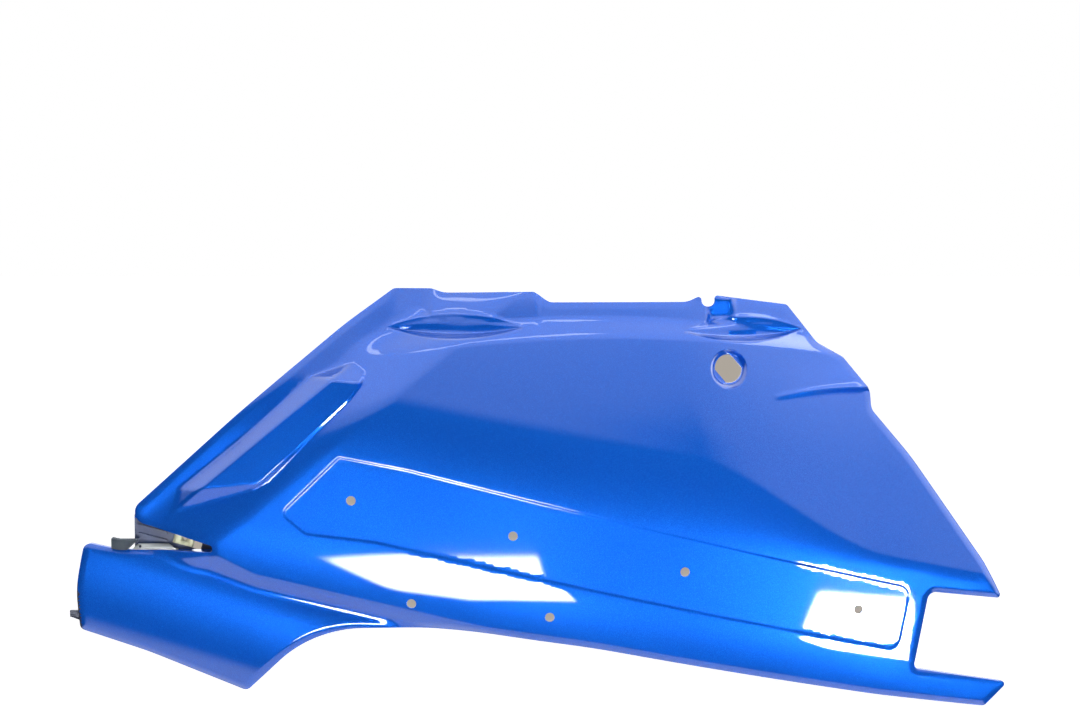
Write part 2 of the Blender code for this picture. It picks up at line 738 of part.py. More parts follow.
def at_depth(loop, depths):
    """Side-view points with their depths put in."""
    depths = np.broadcast_to(depths, (len(loop),))
    return [(x, y, z) for (x, z), y in zip(loop, depths)]


def prism(name, loop, near, far):
    return lofted(name, [at_depth(loop, near), at_depth(loop, far)])


def rib(name, path, top):
    """A rib on the back, from inside the wall to the top depths."""
    path = np.asarray(path, float)
    ahead = np.gradient(path, axis=0)
    ahead /= np.hypot(*ahead.T)[:, None]
    across = np.stack([-ahead[:, 1], ahead[:, 0]], 1) * RIB_WIDTH / 2
    left, right = path + across, path - across
    foot_left, foot_right = wall_depth(*left.T, 0.5), wall_depth(*right.T, 0.5)
    sides = [at_depth(left, foot_left), at_depth(right, foot_right)]
    sides += [at_depth(right, top), at_depth(left, top)]
    return lofted(name, list(zip(*sides)))


def run(start, end, spacing=MESH_SIZE / 2):
    """Points along a straight line."""
    start, end = np.array(start, float), np.array(end, float)
    pieces = max(2, math.ceil(np.hypot(*(end - start)) / spacing))
    t = np.linspace(0, 1, pieces + 1)[:, None]
    return start * (1 - t) + end * t


def bracket_parts():
    """The plate behind the slot, with a web to the panel above it and a shelf along the ear's rim."""
    into_plate = BRACKET_DEPTH + BRACKET_WALL / 2
    shelf_drop = SHELF_DROP + RIB_WIDTH / 2
    plate_span = (BRACKET_FRONT_X, BRACKET_REAR_X)
    upper = [(x, height_on(x, SLOT_TOP) + BRACKET_OVERLAP + RIB_WIDTH / 2) for x in plate_span]
    lower = [(x, height_on(x, RIM) - shelf_drop - RIB_WIDTH / 2) for x in plate_span]
    web_span = (BRACKET_FRONT_X + RIB_WIDTH / 2, BRACKET_REAR_X - RIB_WIDTH / 2)
    web = across_span(web_span, lambda x: height_on(x, SLOT_TOP) + BRACKET_OVERLAP, MESH_SIZE / 2)
    shelf_span = (SHELF_FRONT_X, BRACKET_REAR_X - RIB_WIDTH / 2)
    shelf = across_span(shelf_span, lambda x: height_on(x, RIM) - shelf_drop, MESH_SIZE / 2)
    plate = np.array([*lower, *reversed(upper)])
    parts = [
        prism("bracket_plate", plate, BRACKET_DEPTH, BRACKET_DEPTH + BRACKET_WALL),
        rib("bracket_web", web, into_plate),
        rib("bracket_shelf", shelf, into_plate),
    ]
    for drop in TRACK_DROPS:
        middle = np.array([(x, height_on(x, SLOT_TOP) - drop) for x in TRACK_SPAN])
        half = np.array((0, RIB_WIDTH / 2))
        track = np.concatenate([middle - half, (middle + half)[::-1]])
        parts.append(prism("bracket_track", track, BRACKET_DEPTH - TRACK_HEIGHT, into_plate))
    return parts


def pegs():
    """Pegs that push into the frame's rubber bushes, each on a cross of short webs."""
    parts = []
    for x, z in PEGS:
        base = float(wall_depth(x, z))
        end = base + PEG_LENGTH
        round_side = ring(x, z, PEG_R, PEG_SIDES)
        tip = ring(x, z, PEG_R - PEG_CHAMFER[0], PEG_SIDES)
        foot = wall_depth(*round_side.T, 0.5)
        rings = [at_depth(round_side, foot), at_depth(round_side, end - PEG_CHAMFER[1])]
        parts.append(lofted("peg", [*rings, at_depth(tip, end)]))
        for way in ((PEG_WEB, 0), (0, PEG_WEB)):
            web = run(np.subtract((x, z), way), np.add((x, z), way), PEG_R)
            parts.append(rib("peg_web", web, base + PEG_WEB))
    return parts


def stiffeners():
    """A rib inside the lower edge, and upright ribs behind the ear."""
    lower = across_span(LOWER_RIB_SPAN, lambda x: height_on(x, BOTTOM) + LOWER_RIB_RISE, MESH_SIZE)
    parts = [rib("lower_rib", lower, wall_depth(*lower.T) + LOWER_RIB_HEIGHT)]
    for x in EAR_RIBS_X:
        low = height_on(x, HEEL) + EAR_RIB_FROM_EDGES
        high = height_on(x, RIM) - EAR_RIB_FROM_EDGES
        path = run((x, low), (x, high))
        parts.append(rib("ear_rib", path, wall_depth(*path.T) + EAR_RIB_HEIGHT))
    return parts


def hook():
    """The tongue at the foot of the ear, which slips behind the floor panel."""
    low, high = HOOK_Z
    near = float(outer_depth(HOOK_ROOT_X, (low + high) / 2)) + HOOK_SET_BACK
    tip = HOOK_ROOT_X - HOOK_REACH
    loop = np.array([(HOOK_ROOT_X, low), (tip, low + HOOK_SLANT), (tip, high), (HOOK_ROOT_X, high)])
    return prism("hook", loop, near, near + HOOK_THICK)


def finish(name, colour, roughness, metallic):
    material = bpy.data.materials.new(name)
    material.use_nodes = True
    shader = material.node_tree.nodes["Principled BSDF"]
    shader.inputs["Base Color"].default_value = (*colour, 1)
    shader.inputs["Roughness"].default_value = roughness
    shader.inputs["Metallic"].default_value = metallic
    return material


def new_object(name, mesh, material, collection):
    obj = bpy.data.objects.new(name, mesh)
    collection.objects.link(obj)
    if material:
        mesh.materials.append(material)
    return obj


def helper(mesh, collection):
    """An object that only takes part in a Boolean."""
    obj = new_object(mesh.name, mesh, None, collection)
    obj.hide_render = True
    obj.display_type = "WIRE"
    return obj


def combine(obj, operation, mesh):
    """Joins a solid to an object, or cuts it away."""
    modifier = obj.modifiers.new(mesh.name, "BOOLEAN")
    modifier.operation = operation
    modifier.solver = "EXACT"
    modifier.object = helper(mesh, bpy.context.scene.collection)


def slot_frame():
    """Unit vectors along the slot, down to the rear, and across it."""
    along = np.subtract(SLOT_TOP[1], SLOT_TOP[0])
    along /= np.hypot(*along)
    return along, np.array((-along[1], along[0]))


def nut_window():
    """The window in the bracket plate over whose edge the spring nut slides."""
    along, across = slot_frame()
    start = NUT_LENGTH / 2 - NUT_SHEET - SEAT_GAP
    half_width = NUT_WIDTH / 2 + NUT_CLEARANCE
    corners = ((start, -1), (start + WINDOW_LENGTH, -1), (start + WINDOW_LENGTH, 1), (start, 1))
    loop = [(NUT_X, NUT_Z) + along * s + across * side_of * half_width for s, side_of in corners]
    return prism("nut_window", loop, BRACKET_DEPTH - CUT_PAST, BRACKET_DEPTH + BRACKET_WALL + CUT_PAST)


def nut_hole():
    loop = ring(NUT_X, NUT_Z, NUT_BARREL_R + NUT_CLEARANCE, 16)
    return prism("nut_hole", loop, BRACKET_DEPTH - CUT_PAST, BRACKET_DEPTH + BRACKET_WALL + CUT_PAST)


def side_panel():
    scene = bpy.context.scene.collection
    blue = finish("blue_paint", (0.01, 0.07, 0.5), 0.15, 0.4)
    panel = new_object("side_panel", shell(), blue, scene)
    additions = bpy.data.collections.new("moulded_on")
    scene.children.link(additions)
    for mesh in [*bracket_parts(), *pegs(), *stiffeners(), hook()]:
        helper(mesh, additions)
    join = panel.modifiers.new("moulded_on", "BOOLEAN")
    join.operation = "UNION"
    join.solver = "EXACT"
    join.operand_type = "COLLECTION"
    join.collection = additions
    combine(panel, "DIFFERENCE", nut_window())
    combine(panel, "DIFFERENCE", nut_hole())


def clip_nut():
    """A U of spring steel over the window's edge, with a threaded barrel on its inner leaf."""
    along, across = slot_frame()
    half = NUT_LENGTH / 2
    front = BRACKET_DEPTH - SEAT_GAP - NUT_SHEET
    back = BRACKET_DEPTH + BRACKET_WALL + SEAT_GAP + NUT_SHEET
    profile = (
        (-half, front),
        (half, front),
        (half, back),
        (-half, back),
        (-half, back - NUT_SHEET),
        (half - NUT_SHEET, back - NUT_SHEET),
        (half - NUT_SHEET, front + NUT_SHEET),
        (-half, front + NUT_SHEET),
    )
    rings = []
    for offset in (-NUT_WIDTH / 2, NUT_WIDTH / 2):
        places = [(NUT_X, NUT_Z) + along * s + across * offset for s, _ in profile]
        rings.append(at_depth(places, [y for _, y in profile]))
    yellow = finish("yellow_zinc", (0.62, 0.56, 0.3), 0.35, 0.9)
    nut = new_object("clip_nut", lofted("clip_nut", rings), yellow, bpy.context.scene.collection)
    barrel = ring(NUT_X, NUT_Z, NUT_BARREL_R, 16)
    bore = ring(NUT_X, NUT_Z, NUT_HOLE_R, 16)
    end = back + NUT_BARREL_LENGTH
    combine(nut, "UNION", prism("nut_barrel", barrel, back - NUT_SHEET / 2, end))
    combine(nut, "DIFFERENCE", prism("nut_bore", bore, front - CUT_PAST, end + CUT_PAST))


def along_rim(x, profile, narrowing):
    """A ring of (depth, height) points above the rim at x, moved on by the narrowing as it rises."""
    foot = height_on(x, RIM) + SEAT_GAP
    return [(x + narrowing * up, y, foot + up) for y, up in profile]


def buffer_block():
    """A rubber block on the shelf at the slot's front end, with chamfered upper edges."""
    near, far = BUFFER_DEPTHS
    low, high = BUFFER_HEIGHT - BUFFER_CHAMFER, BUFFER_HEIGHT
    profile = (
        (near, 0),
        (far, 0),
        (far, low),
        (far - BUFFER_CHAMFER, high),
        (near + BUFFER_CHAMFER, high),
        (near, low),
    )
    front, rear = BUFFER_FOOT
    rings = [along_rim(x, profile, 0) for x in (front, RIM[1][0])]
    rings.append(along_rim(rear, profile, BUFFER_OVERHANG / BUFFER_HEIGHT))
    dark = finish("dark_rubber", (0.05, 0.06, 0.07), 0.8, 0.0)
    new_object("buffer_block", lofted("buffer_block", rings), dark, bpy.context.scene.collection)


def spring_clip():
    """A bent strip: a foot on the shelf, and a leaf that leans back, with a hole at its front end."""
    lean = math.radians(SPRING_LEAN_DEG)
    back, up = math.sin(lean), math.cos(lean)
    profile = (
        (SPRING_NEAR, 0),
        (SPRING_NEAR + SPRING_FOOT_DEPTH, 0),
        (SPRING_NEAR + SPRING_FOOT_DEPTH, SPRING_SHEET),
        (SPRING_NEAR + SPRING_SHEET * (1 + back) / up, SPRING_SHEET),
        (SPRING_NEAR + SPRING_LEAF * back + SPRING_SHEET * up, SPRING_LEAF * up - SPRING_SHEET * back),
        (SPRING_NEAR + SPRING_LEAF * back, SPRING_LEAF * up),
    )
    front, rear = SPRING_FOOT
    rings = [along_rim(front, profile, SPRING_NARROWING[0]), along_rim(rear, profile, -SPRING_NARROWING[1])]
    pale = finish("pale_zinc", (0.6, 0.6, 0.56), 0.4, 0.6)
    clip = new_object("spring_clip", lofted("spring_clip", rings), pale, bpy.context.scene.collection)
    hole = ring(SPRING_HOLE_X, height_on(SPRING_HOLE_X, RIM) + SPRING_HOLE_UP, SPRING_HOLE_R, 12)
    far = SPRING_NEAR + SPRING_FOOT_DEPTH + CUT_PAST
    combine(clip, "DIFFERENCE", prism("spring_hole", hole, SPRING_NEAR - CUT_PAST, far))


def main():
    for obj in list(bpy.data.objects):
        bpy.data.objects.remove(obj)
    side_panel()
    clip_nut()
    spring_clip()
    buffer_block()


main()
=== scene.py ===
# %% [markdown]
# # A scooter's side panel in metallic blue
#
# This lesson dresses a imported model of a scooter's rear side panel: a thin plastic moulding about
# 0.9 m long, painted metallic blue, with a few clips held in a slot at its front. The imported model
# is faceted. Here the same form is made again at a fine spacing, so that its gloss flows, and the
# paint, the bare plastic inside, the plated clips and the light are made from shader nodes.
#
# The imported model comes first. Every piece below is made in its frame, in metres: +X runs to the
# scooter's rear, +Z up, and the painted face looks towards -Y.

import math

import bmesh
import bpy
import numpy as np
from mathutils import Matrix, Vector
from mathutils.geometry import delaunay_2d_cdt
from mathutils.kdtree import KDTree


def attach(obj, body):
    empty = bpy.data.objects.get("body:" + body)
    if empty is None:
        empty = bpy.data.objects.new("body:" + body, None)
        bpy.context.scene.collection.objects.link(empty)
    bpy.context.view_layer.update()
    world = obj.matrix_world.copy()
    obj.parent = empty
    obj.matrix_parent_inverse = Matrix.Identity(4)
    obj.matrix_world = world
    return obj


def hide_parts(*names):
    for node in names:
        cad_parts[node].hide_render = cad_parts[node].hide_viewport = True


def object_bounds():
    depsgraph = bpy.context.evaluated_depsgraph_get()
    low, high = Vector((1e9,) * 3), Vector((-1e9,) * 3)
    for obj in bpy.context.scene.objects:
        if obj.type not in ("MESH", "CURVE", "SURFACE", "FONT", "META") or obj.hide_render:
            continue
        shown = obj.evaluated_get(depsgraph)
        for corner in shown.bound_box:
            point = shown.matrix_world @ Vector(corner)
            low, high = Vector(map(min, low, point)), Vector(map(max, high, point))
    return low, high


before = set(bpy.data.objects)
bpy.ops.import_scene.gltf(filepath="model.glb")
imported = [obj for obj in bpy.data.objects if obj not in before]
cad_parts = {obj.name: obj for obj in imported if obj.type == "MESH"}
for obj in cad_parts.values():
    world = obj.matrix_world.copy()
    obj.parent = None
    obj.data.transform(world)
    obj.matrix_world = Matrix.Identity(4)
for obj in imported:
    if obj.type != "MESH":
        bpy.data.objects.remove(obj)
cad_low, cad_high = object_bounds()
print("CAD box in mm:", [round(1000 * side) for side in cad_high - cad_low])

# %% [markdown]
# ## The side view
#
# The real panel was drawn by its maker in side view, so the lesson does the same. A point is x and
# z in millimetres, and a depth measured inwards from the side plane. One function turns that into
# scene metres. The drawing's origin and the scene's differ: the scene's is on the back of the tab
# where the seat rail is screwed on.

# %% From drawing millimetres to scene metres
MM = 0.001
ORIGIN = np.array((551.0, 129.8369, 216.0))
WALL = 2.6


def scene_point(x, y, z):
    return (np.array((x, y, z)) - ORIGIN) * MM


def scene_points(points):
    return (np.asarray(points, float) - ORIGIN) * MM


# %% [markdown]
# ## Outline of the panel
#
# The outline is a list of corners, each with a fillet radius. Two more numbers say how deep the
# edge's return is there, and how far the face rolls in before it. A modeller could also trace a
# Bezier curve, but a list of corners is easier to read, and each corner can be moved by itself.

# %% The outline's corners
OUTLINE = (
    (-35.2, 17.4, 12.0, 7.0, 1.5),
    (54.5, -6.5, 3.1, 4.5, 1.0),
    (54.5, -12.8, 3.1, 4.5, 1.5),
    (-37.0, -12.4, 10.0, 7.0, 2.0),
    (-71.0, -5.3, 7.0, 8.0, 3.0),
    (-79.5, -50.0, 150.0, 8.0, 1.0),
    (-80.0, -92.4, 6.0, 8.0, 2.5),
    (-12.6, -114.7, 300.0, 8.0, 3.0),
    (81.5, -153.5, 7.0, 8.0, 3.0),
    (149.0, -88.0, 150.0, 9.0, 3.0),
    (290.0, -88.5, 600.0, 9.0, 2.5),
    (420.0, -107.5, 900.0, 9.0, 3.5),
    (699.0, -164.0, 900.0, 9.0, 3.5),
    (815.0, -184.5, 5.0, 8.0, 3.5),
    (839.5, -161.0, 3.3, 7.0, 2.0),
    (737.0, -139.5, 6.0, 9.0, 3.0),
    (754.0, -64.5, 8.0, 12.0, 5.0),
    (834.0, -76.5, 3.3, 12.0, 5.0),
    (815.0, -39.0, 90.0, 10.0, 4.5),
    (744.0, 66.0, 300.0, 10.0, 4.5),
    (705.0, 113.0, 12.0, 9.0, 3.0),
    (705.0, 131.0, 9.0, 9.0, 2.5),
    (678.0, 165.5, 14.0, 6.0, 2.0),
    (652.0, 180.0, 10.0, 5.0, 1.5),
    (622.0, 219.0, 6.0, 4.5, 1.0),
    (544.2, 229.2, 3.3, 4.5, 0.0),
    (544.2, 217.8, 6.4, 4.5, 0.0),
    (531.0, 217.8, 6.4, 4.5, 0.0),
    (531.0, 229.2, 3.3, 4.5, 0.0),
    (516.0, 222.5, 25.0, 4.5, 1.0),
    (376.0, 223.0, 12.0, 4.5, 1.0),
    (361.0, 233.5, 7.0, 4.5, 1.0),
    (271.0, 232.5, 20.0, 4.5, 1.0),
    (258.0, 236.8, 8.0, 4.5, 0.5),
    (221.0, 237.2, 9.0, 4.5, 0.5),
    (174.0, 202.0, 400.0, 7.0, 1.5),
    (75.0, 117.0, 900.0, 7.0, 1.5),
)
RECESS = (
    (175.0, 80.0, 7.0),
    (240.0, 67.5, 150.0),
    (735.0, -57.5, 13.0),
    (721.0, -121.0, 13.0),
    (210.0, -4.0, 120.0),
    (143.0, 4.0, 14.0),
    (118.0, 25.0, 9.0),
)


def spaced(points, spacing):
    """The closed loop with its long sides divided evenly."""
    loop = []
    for here, following in zip(points, points[1:] + points[:1]):
        a, b = np.array(here, float), np.array(following, float)
        pieces = max(1, math.ceil(np.hypot(*(b - a)[:2]) / spacing - 0.01))
        loop += [a + (b - a) * k / pieces for k in range(pieces)]
    return np.array(loop)


def filleted(corners, spacing, arc_step=8.0):
    """Points along a closed outline of (x, z, radius, ...) corners, with the other values carried on."""
    points = []
    for i, here in enumerate(corners):
        p = np.array(here[:2], float)
        before = np.array(corners[i - 1][:2], float) - p
        after = np.array(corners[(i + 1) % len(corners)][:2], float) - p
        before_length, after_length = np.hypot(*before), np.hypot(*after)
        u, v = before / before_length, after / after_length
        half = math.acos(max(-1.0, min(1.0, float(u @ v)))) / 2
        reach = min(here[2] / math.tan(half), 0.499 * before_length, 0.499 * after_length)
        radius = reach * math.tan(half)
        start, end = p + u * reach, p + v * reach
        turn = math.pi - 2 * half
        steps = max(1, round(turn / math.radians(arc_step)), round(turn * radius / spacing))
        middle = p + (u + v) / np.hypot(*(u + v)) * radius / math.sin(half)
        a, b = start - middle, end - middle
        sweep = math.atan2(a[0] * b[1] - a[1] * b[0], a @ b)
        for k in range(steps + 1):
            c, s = math.cos(sweep * k / steps), math.sin(sweep * k / steps)
            points.append((*(middle + (a[0] * c - a[1] * s, a[0] * s + a[1] * c)), *here[3:]))
    return spaced(points, spacing)


def counter_clockwise(loop):
    x, z = loop[:, 0], loop[:, 1]
    return loop if (x * np.roll(z, -1) - z * np.roll(x, -1)).sum() > 0 else loop[::-1]


EDGE_SPACING = 4.0
edge = counter_clockwise(filleted(OUTLINE, EDGE_SPACING))
recess_edge = counter_clockwise(filleted(RECESS, EDGE_SPACING))
print("points round the panel:", len(edge))

# %% [markdown]
# ## Tools for a form that is a function
#
# The painted face is one smooth function of x and z. Four small tools build it. `smooth` is an
# S-curve from 0 to 1. `bend` is flat, then slopes. `nearer` and `deeper` join two surfaces, with a
# fillet where they meet, as a mould maker's cutter leaves one. Sculpting could give the same look,
# but here each crease stays a number that can be changed.

# %% Smooth steps, bends and fillets
def smooth(t):
    t = np.clip(t, 0.0, 1.0)
    return t * t * (3 - 2 * t)


def bend(t, width):
    """Slope 0 before t = 0, rising to slope 1 over the width."""
    return np.where(t <= 0, 0.0, np.where(t >= width, t - width / 2, t * t / (2 * width)))


def nearer(a, b, radius):
    return np.minimum(a, b) - np.maximum(radius - np.abs(a - b), 0) ** 2 / (4 * radius)


def deeper(a, b, radius):
    return -nearer(-a, -b, radius)


def height_on(x, corners):
    return np.interp(x, [c[0] for c in corners], [c[1] for c in corners])


def bowed(x, line):
    crown_x, crown_z, radius = line
    return crown_z - (x - crown_x) ** 2 / (2 * radius)


# %% [markdown]
# Two of the effects depend on how far a point is from a line: the rolled edge and the step of the
# trim recess. One function gives the distance to a closed loop, and what the loop carries there.

# %% Distance to a loop, and whether a point is inside it
REACH = 10.0


def to_loop(x, z, loop):
    """Each point's distance to the loop, up to the reach, and the loop's values at the nearest place."""
    nearest = np.full(len(x), REACH)
    values = np.zeros((len(x), loop.shape[1] - 2))
    order = np.argsort(x)
    starts, ends = loop, np.roll(loop, -1, axis=0)
    first = np.searchsorted(x, np.minimum(starts[:, 0], ends[:, 0]) - REACH, sorter=order)
    last = np.searchsorted(x, np.maximum(starts[:, 0], ends[:, 0]) + REACH, sorter=order)
    for a, b, i, j in zip(starts, ends, first, last):
        near = order[i:j]
        near = near[np.abs(z[near] - (a[1] + b[1]) / 2) < REACH + abs(a[1] - b[1]) / 2]
        along = b[:2] - a[:2]
        dx, dz = x[near] - a[0], z[near] - a[1]
        t = np.clip((dx * along[0] + dz * along[1]) / (along @ along), 0, 1)
        distance = np.hypot(dx - t * along[0], dz - t * along[1])
        closer = distance < nearest[near]
        nearest[near[closer]] = distance[closer]
        values[near[closer]] = a[2:] + t[closer, None] * (b[2:] - a[2:])
    return nearest, values


def inside(x, z, loop):
    odd = np.zeros(len(x), bool)
    order = np.argsort(z)
    starts, ends = loop, np.roll(loop, -1, axis=0)
    first = np.searchsorted(z, np.minimum(starts[:, 1], ends[:, 1]), sorter=order)
    last = np.searchsorted(z, np.maximum(starts[:, 1], ends[:, 1]), sorter=order)
    for a, b, i, j in zip(starts, ends, first, last):
        level = order[i:j]
        if len(level):
            odd[level] ^= x[level] < a[0] + (z[level] - a[1]) * (b[0] - a[0]) / (b[1] - a[1])
    return odd


def inset(loop, distance):
    """The loop moved inwards; a counter-clockwise loop has its inside on the left."""
    points = loop[:, :2]
    ahead = np.roll(points, -1, axis=0) - points
    ahead /= np.hypot(*ahead.T)[:, None]
    left = np.stack([-ahead[:, 1], ahead[:, 0]], 1)
    middle = left + np.roll(left, 1, axis=0)
    middle /= np.hypot(*middle.T)[:, None]
    stretch = np.maximum((middle * left).sum(1), 0.5)
    return points + middle * (distance / stretch)[:, None]


# %% [markdown]
# ## The panel's main form
#
# Seen from behind the scooter, the side stands almost upright low down, bends at a body line and
# leans in above it. The body line falls to the rear, and the bend gets tighter there. At the front
# a slope drops to a flat border along the slanting edge. On that slope stands a scoop: a raised pad
# of five sides, whose far end bends back with the body.

# %% Body, front border and scoop
BODY_LINE_Z = 119.5
BODY_LINE_FALL = 0.2213
LOW_LEAN, HIGH_LEAN = 0.05, 0.47
BEND_WIDTH_FRONT, BEND_WIDTH_REAR = 85.0, 14.0
BEND_FRONT_X, BEND_REAR_X = 520.0, 715.0
BEND_LEAD = 0.15
UPPER_CROWN_R = 1400.0
LOWER_CROWN_R, LOWER_CROWN_START = 170.0, 80.0
TAPER_X, TAPER_R = 300.0, 1500.0
FRONT_LOW, FRONT_HIGH = (-23.5, 36.5), (206.0, 225.0)
FRONT_DROP = 20.0
BORDER_WIDTH, SLOPE_END = 18.0, 88.0
PAD = ((60.0, 34.0), (219.0, 33.0), (238.0, 52.0), (224.0, 58.0), (108.0, 66.0))
FLANK_SLOPES = (1.2, 1.0, 1.6, 1.2, 0.75)
PAD_DEPTH, PAD_TILT, PAD_RISE, PAD_EDGE_R = -0.2, 0.12, 0.05, 2.2
PAD_BEND_START, PAD_BEND_R = 120.0, 370.0


def front_frame():
    foot, head = np.array(FRONT_LOW), np.array(FRONT_HIGH)
    along = (head - foot) / np.hypot(*(head - foot))
    return foot, along, np.array((along[1], -along[0]))


def front_axes(x, z):
    """Distance along the slanting front edge, and across it to the rear."""
    foot, along, across = front_frame()
    dx, dz = x - foot[0], z - foot[1]
    return dx * along[0] + dz * along[1], dx * across[0] + dz * across[1]


def body(x, z):
    h = z - (BODY_LINE_Z - BODY_LINE_FALL * x)
    tight = smooth((x - BEND_FRONT_X) / (BEND_REAR_X - BEND_FRONT_X))
    width = BEND_WIDTH_FRONT + (BEND_WIDTH_REAR - BEND_WIDTH_FRONT) * tight
    y = LOW_LEAN * h + (HIGH_LEAN - LOW_LEAN) * bend(h + BEND_LEAD * width, width)
    y = y + np.maximum(h - BEND_WIDTH_FRONT, 0) ** 2 / (2 * UPPER_CROWN_R)
    y = y + np.maximum(-LOWER_CROWN_START - h, 0) ** 2 / (2 * LOWER_CROWN_R)
    y = y + np.maximum(x - TAPER_X, 0) ** 2 / (2 * TAPER_R)
    across = front_axes(x, z)[1]
    return y + FRONT_DROP * (1 - smooth((across - BORDER_WIDTH) / (SLOPE_END - BORDER_WIDTH)))


def scoop(x, z):
    """The raised pad, with flanks that fall away from its five sides."""
    along, across = front_axes(x, z)
    y = PAD_DEPTH - PAD_TILT * (across - PAD[0][1]) + PAD_RISE * (along - PAD[0][0])
    y = y + np.maximum(along - PAD_BEND_START, 0) ** 2 / (2 * PAD_BEND_R)
    for start, end, slope in zip(PAD, PAD[1:] + PAD[:1], FLANK_SLOPES):
        sx, sy = end[0] - start[0], end[1] - start[1]
        outside = (along - start[0]) * sy - (across - start[1]) * sx
        y = y + slope * bend(outside / math.hypot(sx, sy) + PAD_EDGE_R, 2 * PAD_EDGE_R)
    return y


# %% [markdown]
# Along the top runs a shoulder, with a rail behind it that sits under the seat. Two shallow pockets
# are pressed into the shoulder, deepest near the lower edge, and a low bead runs along the upper
# one. Over the tail a brow stands proud, sharp below and fading above, with a bead on its crest.

# %% Shoulder, rail, pockets and brow
SHOULDER, RAIL_FOOT = (430.0, 186.5, 1350.0), (410.0, 210.5, 1250.0)
RAIL_STEP = 9.0
RAIL_START_X, RAIL_FULL_X = 170.0, 250.0
POCKETS = ((283.0, 199.0, 68.0), (574.0, 194.0, 64.0))
POCKET_DEPTH, POCKET_HALF_HEIGHT, POCKET_DEEPEST = 8.0, 13.0, 0.7
POCKET_BEAD, POCKET_BEAD_SHARE = 1.1, 0.1
TOP_PAD_PROUD, TOP_PAD_Z, TOP_PAD_END_X = 2.0, 207.0, 366.0
TOP_PAD_BLEND, TOP_PAD_FADE = 8.0, 36.0
BROW_START_X, BROW_END_X, BROW_Z = 601.0, 704.0, 133.0
BROW_FLAT_X, BROW_BOW_R = 690.0, 500.0
BROW_HEIGHT, BROW_GROWTH, BROW_WALL, BROW_FADE = 7.5, 1.3, 4.5, 40.0
BROW_BEAD, BROW_BEAD_UP, BROW_BEAD_R = 1.7, 3.0, 2.6


def pocket_limits(pocket, x):
    px, pz, half_length = pocket
    arch = np.maximum(1 - ((x - px) / half_length) ** 2, 0)
    return pz + POCKET_HALF_HEIGHT * arch, pz - POCKET_HALF_HEIGHT * arch, arch


def rail(x, z):
    shoulder, foot = bowed(x, SHOULDER), bowed(x, RAIL_FOOT)
    grown = smooth((x - RAIL_START_X) / (RAIL_FULL_X - RAIL_START_X))
    y = RAIL_STEP * grown * smooth((z - shoulder) / (foot - shoulder))
    proud = smooth((TOP_PAD_END_X - x) / TOP_PAD_BLEND + 0.5)
    proud = proud * smooth((z - TOP_PAD_Z) / TOP_PAD_FADE + 0.5)
    return y - TOP_PAD_PROUD * grown * proud


def pockets(x, z):
    """How far the two pockets go in, with a low bead along the upper edge of each."""
    y = 0.0
    for pocket in POCKETS:
        top, bottom, arch = pocket_limits(pocket, x)
        t = (top - z) / np.maximum(top - bottom, 1e-3)
        within = np.clip(t, 0, 1)
        fall = (within / POCKET_DEEPEST) ** 3
        rise = 1 - smooth((within - POCKET_DEEPEST) / (1 - POCKET_DEEPEST))
        bead = POCKET_BEAD * np.exp(-np.minimum((t / POCKET_BEAD_SHARE) ** 2, 50))
        y = y + arch * (POCKET_DEPTH * np.minimum(fall, rise) - bead)
    return y


def brow_line(x):
    return BROW_Z - np.maximum(BROW_FLAT_X - x, 0) ** 2 / (2 * BROW_BOW_R)


def brow(x, z):
    above = z - brow_line(x)
    grown = np.clip((x - BROW_START_X) / (BROW_END_X - BROW_START_X), 0, 1)
    bead = BROW_BEAD * np.sqrt(grown) * np.exp(-(((above - BROW_BEAD_UP) / BROW_BEAD_R) ** 2))
    fall = smooth(above / BROW_WALL + 0.5) * (1 - smooth(above / BROW_FADE))
    return BROW_HEIGHT * grown**BROW_GROWTH * fall + bead


# %% [markdown]
# Below the slot the face folds back and an ear comes out of the fold, rounded from top to bottom.
# It reaches forward to the floor panel. The fold and the ear are two surfaces, and the nearer one
# to the eye is the panel, with a small fillet in the valley between them.

# %% Fold and ear
FOLD = ((-90.0, 9.0), (50.0, -10.5), (95.0, -35.5), (343.0, -94.0), (900.0, -260.0))
FOLD_LEAN, FOLD_R = 0.42, 3.0
EAR_LINE, EAR_FALL_DEG = (-73.0, -18.0), 18.5
EAR_DEPTH, EAR_DEPTH_X, EAR_FLARE = 10.0, -10.0, -0.02
EAR_R, EAR_TOP_R, VALLEY_R = 160.0, 70.0, 6.0


def below_fold(x, z):
    xs, zs = np.array(FOLD).T
    slope = np.interp(x, (xs[1:] + xs[:-1]) / 2, np.diff(zs) / np.diff(xs))
    return (np.interp(x, xs, zs) - z) / np.hypot(1, slope)


def ear(x, z):
    fall = math.radians(EAR_FALL_DEG)
    down = -(x - EAR_LINE[0]) * math.sin(fall) - (z - EAR_LINE[1]) * math.cos(fall)
    y = EAR_DEPTH + EAR_FLARE * (x - EAR_DEPTH_X)
    return y + np.maximum(down, 0) ** 2 / (2 * EAR_R) + np.maximum(-down, 0) ** 2 / (2 * EAR_TOP_R)


def side(x, z):
    return body(x, z) + rail(x, z) - brow(x, z)


def folded(x, z):
    panel = nearer(side(x, z), scoop(x, z), PAD_EDGE_R)
    return panel + FOLD_LEAN * bend(below_fold(x, z) + FOLD_R, 2 * FOLD_R)


def plain_form(x, z):
    return nearer(folded(x, z), ear(x, z), VALLEY_R)


# %% [markdown]
# Last come the details pressed into that form: the shallow recess where a trim strip sits, the
# round cup of the seat lock, two flat seats under the rail, and the roll along every edge. The wall
# is 2.6 mm thick, measured squarely to the face, so the inner face is the outer one moved back by
# more where the face slants.

